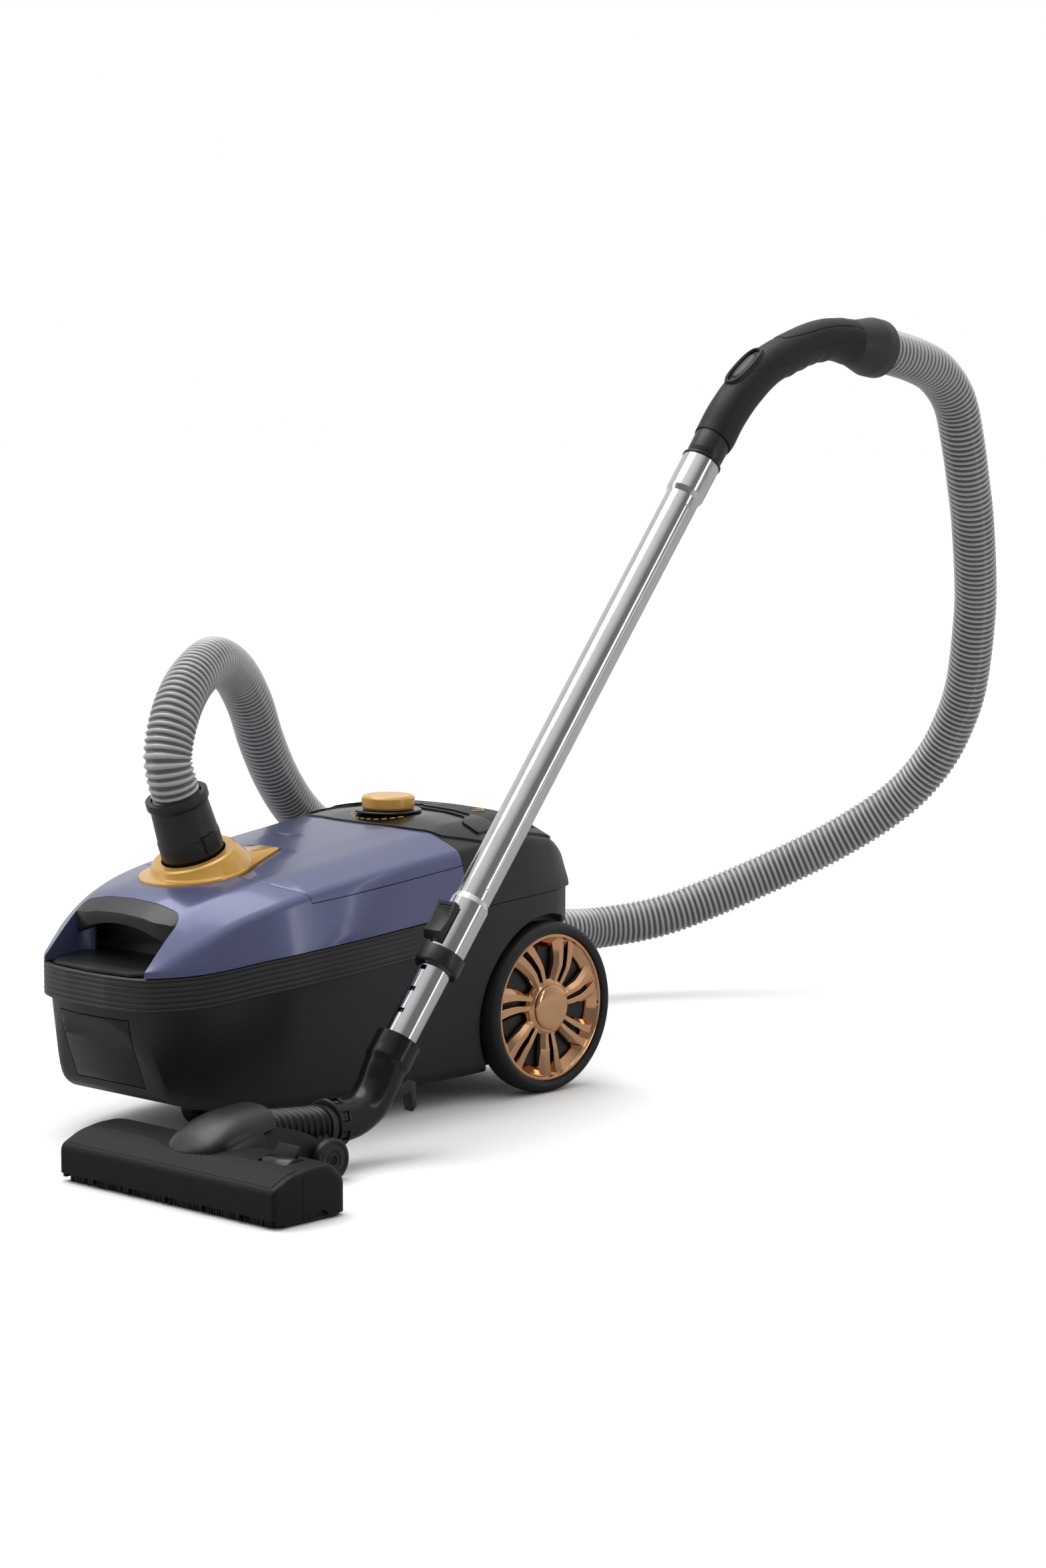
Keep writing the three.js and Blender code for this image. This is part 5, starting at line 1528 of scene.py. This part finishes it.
def make_neck():
    """The neck: a ribbed gaiter behind the dome, hinged on the pivot pin."""
    rings = []
    steps = 110
    for i in range(steps + 1):
        y = GAITER_START + (NECK_FROM - SEAM - GAITER_START) * i / steps
        share = (y - GAITER_FROM) / (GAITER_TO - GAITER_FROM)
        wave = 0.5 + 0.5 * math.cos(2 * math.pi * GAITER_RIBS * share)
        rib = GAITER_DEPTH * wave if 0 < share < 1 else 0
        middle = 49 - 5 * i / steps
        tall = (20.5 - 2.5 * i / steps if i > 4 else 12) - rib
        rings.append([(MID + (21.8 - rib) * squared(math.cos(a), 0.85), y,
                       middle + tall * squared(math.sin(a), 0.85)) for a in turns(64)])
    lug = pivot_rod(PIVOT_R, PIVOT_HALF)
    stem = box_tool(MID - 20, MID + 20, -321, -291, 20, 40)
    carve(lug, [(ADD, stem), (CUT, pivot_rod(PIN_HOLE_R, 30, 32))])
    dressed("neck_lug", lug, "matt", body=BODY_OF["neck"], bevel=0.8)
    loft("neck_gaiter", rings, "satin", "neck", crease=40)


def make_neck_collar():
    """The swivel ring, with rectangular pockets round it."""
    centre = Vector((MID, NECK_FROM, NECK_Z))
    length = NECK_TO - NECK_FROM
    profile = [(16.4, 0), (23, 0), (24, 1.2), (24, length - 1.2), (23, length), (16.4, length)]
    body = tool(turned_rings(profile, centre, BACKWARD, 96), closed_rows=True)
    for i in range(8):
        angle = math.pi * (i + 0.5) / 4
        outward = Vector((math.cos(angle), 0, math.sin(angle)))
        across = Vector((-math.sin(angle), 0, math.cos(angle)))
        corners = ((22, -4.5), (30, -4.5), (30, 4.5), (22, 4.5))
        pocket = tool([[centre + outward * a + across * b + Vector((0, d, 0)) for a, b in corners]
                       for d in (4, 12)])
        carve(body, [(CUT, pocket)])
    dressed("neck_collar_turned", body, "gloss", "neck_collar", bevel=0.4)


def make_elbow():
    """The bend from the wand down to the neck, with its parking hook."""
    down = [along_wand(-distance) for distance in (0, 14, 30)]
    bend = [(MID, -209, 68), (MID, -222, 54), (MID, -240, 46), (MID, NECK_TO + SEAM, NECK_Z)]
    line = even(catmull(down + [Vector(p) for p in bend], 10), 1.6)
    radii = [(0, 22.5), (0.22, 22.5), (0.25, 20.8), (0.7, 19.6), (0.9, 20.4), (1, 20.4)]

    def section(_, share):
        return circle(linear(radii, share), 96)

    swept("elbow_bend", line, section, "gloss", "elbow", crease=40)
    outline = [(-190, 66), (-172, 71), (-163, 68), (-161, 44), (-167, 39), (-171, 58), (-192, 54)]
    dressed("parking_hook", side_tool(outline, MID - 6, MID + 6), "satin", body=BODY_OF["elbow"], bevel=1.2)


def make_head_wheels():
    for node, x in HEAD_WHEELS:
        profile = [(PIN_HOLE_R, 0), (18.5, 0), (HEAD_WHEEL_R, 2), (HEAD_WHEEL_R, 7), (18.8, 9), (16.4, 9),
                   (15.8, 7.8), (14.6, 7.8), (14, 8.6), (9, 8.6), (8.4, 7.4), (7.4, 7.4), (6.8, 8.6),
                   (PIN_HOLE_R, 8.6)]
        if node == "left":
            profile = [(radius, 9 - height) for radius, height in profile]
        turned("head_wheel_turned_" + node, profile, (x, PIVOT.y, PIVOT.z), ACROSS, "satin",
               "head_wheel_" + node, sides=96, corner=0.4)


def make_head_pedal():
    """The rocker that lowers the brush, with an upright fin for the toe."""
    top = HEAD_RIDGE + 4
    near, far = PEDAL_Y - PEDAL_DEEP / 2, PEDAL_Y + PEDAL_DEEP / 2
    outline = rounded([(near, top - 9), (near + 8, top - 1), (far - 3, top - 2), (far, top - 6)], 6, 6)
    outline += [(far - 3, top - 13), (near + 3, top - 13)]
    body = side_tool(outline, PEDAL_X - PEDAL_SPAN / 2, PEDAL_X + PEDAL_SPAN / 2)
    dressed("head_pedal_rocker", body, "gloss", "head_pedal", bevel=0.6)
    outline = [(far - 7, top - 3), (far + 1, top + 8), (far + 3, top + 7), (far - 3, top - 4)]
    fin = side_tool(outline, PEDAL_X - 15, PEDAL_X + 13)
    dressed("head_pedal_fin", fin, "head", body=BODY_OF["head_pedal"], bevel=0.5)


BRISTLE_STEP, BRISTLE_ROWS, BRUSH_Y = 1.9, (-468.2, -466.4, -464.6, -462.8), -465
BRISTLE_CORNERS = ((-0.75, -0.75), (0.75, -0.75), (0.75, 0.75), (-0.75, 0.75))


def make_brush():
    """A carrier strip with rows of bristle tufts, each leaning a little its own way."""
    chance = random.Random(7)
    left, right = HEAD_LEFT + 9, HEAD_RIGHT - 9
    vertices, faces = [], []
    for row in BRISTLE_ROWS:
        for i in range(round((right - left) / BRISTLE_STEP)):
            x = left + BRISTLE_STEP * (i + 0.5)
            lean = Vector((chance.uniform(-0.9, 0.9), chance.uniform(-0.7, 0.7)))
            foot = [(x + lean.x + a, row + lean.y + b, chance.uniform(0.2, 1.6)) for a, b in BRISTLE_CORNERS]
            head = [(x + a, row + b, 11) for a, b in BRISTLE_CORNERS]
            base = len(vertices)
            vertices += foot + head
            faces += [tuple(base + k for k in face) for face in
                      ((0, 1, 2, 3), (4, 5, 6, 7), (0, 1, 5, 4), (1, 2, 6, 5), (2, 3, 7, 6), (3, 0, 4, 7))]
    build("bristles", vertices, faces, "matt", body=BODY_OF["brush_strip"])
    carrier = box_tool(left - 1, right + 1, BRUSH_Y - 3, BRUSH_Y + 3, 10, 18)
    dressed("brush_carrier", carrier, "matt", "brush_strip", bevel=0.5)


def make_sole_plate():
    """The blackened steel plate behind the brush, its back corners rounded like the shell's."""
    left, right, front, back = HEAD_LEFT + 3, HEAD_RIGHT - 3, BRUSH_Y + 5, HEAD_BACK - 3
    outline = rounded([(left, front), (left, back), (right, back), (right, front)], 14, 6)
    plate = prism_tool(outline, HEAD_SOLE - 3, HEAD_SOLE - SEAM)
    carve(plate, [(CUT, box_tool(HEAD_LEFT + 30, HEAD_RIGHT - 30, -436, -420, 0, 20))])
    dressed("sole_plate_pressed", plate, "blackened", "sole_plate", bevel=0.6)


make_head_shell()
make_head_texture()
make_sole_plate()
make_head_cover()
make_neck()
make_neck_collar()
make_elbow()
make_head_wheels()
make_head_pedal()
make_brush()

# ---------------- inside the canister

BAG_FRONT, BAG_BACK, BAG_HALF, BAG_FLOOR, BAG_CEILING = -270, -4, 88, 66, 178


def make_dust_bag():
    """A filled fleece bag: slack sides, a sagging top and puckered ends."""
    rings = []
    steps = 60
    for i in range(steps + 1):
        share = i / steps
        y = BAG_FRONT + (BAG_BACK - BAG_FRONT) * share
        fullness = 0.55 + 0.45 * min(1, 5 * share, 5 * (1 - share)) ** 0.5
        ring = []
        for a in turns(72):
            crinkle = 1 + 0.025 * math.sin(5 * a + 9 * share) * math.sin(23 * share + 2 * a)
            reach = fullness * crinkle * 0.96
            x = BAG_HALF * reach * squared(math.cos(a), 0.55)
            z = (BAG_CEILING - BAG_FLOOR) / 2 * reach * squared(math.sin(a), 0.6)
            sag = 7 * math.sin(math.pi * share) * max(0, math.sin(a)) * math.cos(x / 70)
            ring.append((x, y, (BAG_FLOOR + BAG_CEILING) / 2 + z - sag))
        rings.append(ring)
    loft("dust_bag_fleece", rings, "paper", "dust_bag", crease=60)


def make_exhaust_filter():
    """A pleated filter pack, its folds towards the exhaust door."""
    pleats = 16
    half, fold, low, high = 55, 9, 98.4, 165.6
    front, back = REAR_Y - 31.6, REAR_Y - 13.4
    step = 2 * half / pleats
    outline = [(-half, front), (half, front), (half, back - fold)]
    for i in reversed(range(pleats)):
        outline += [(-half + step * (i + 0.5), back), (-half + step * i, back - fold)]
    dressed("exhaust_pleats", prism_tool(outline, low, high), "paper", "exhaust_filter", bevel=0.3)


make_dust_bag()
make_exhaust_filter()

# ---------------- the rest, from their own CAD shapes

replaced = {name for obj in bpy.data.objects for name in obj.get("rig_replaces", [])}
slot_of = {part["node"]: part["material_slot"] for part in frame["record"]["subparts"]}
for node_name in sorted(frame["nodes"]):
    if node_name in replaced:
        continue
    slot_name = slot_of[node_name]
    softened(node_name, SLOT_LOOK.get(slot_name, slot_name))
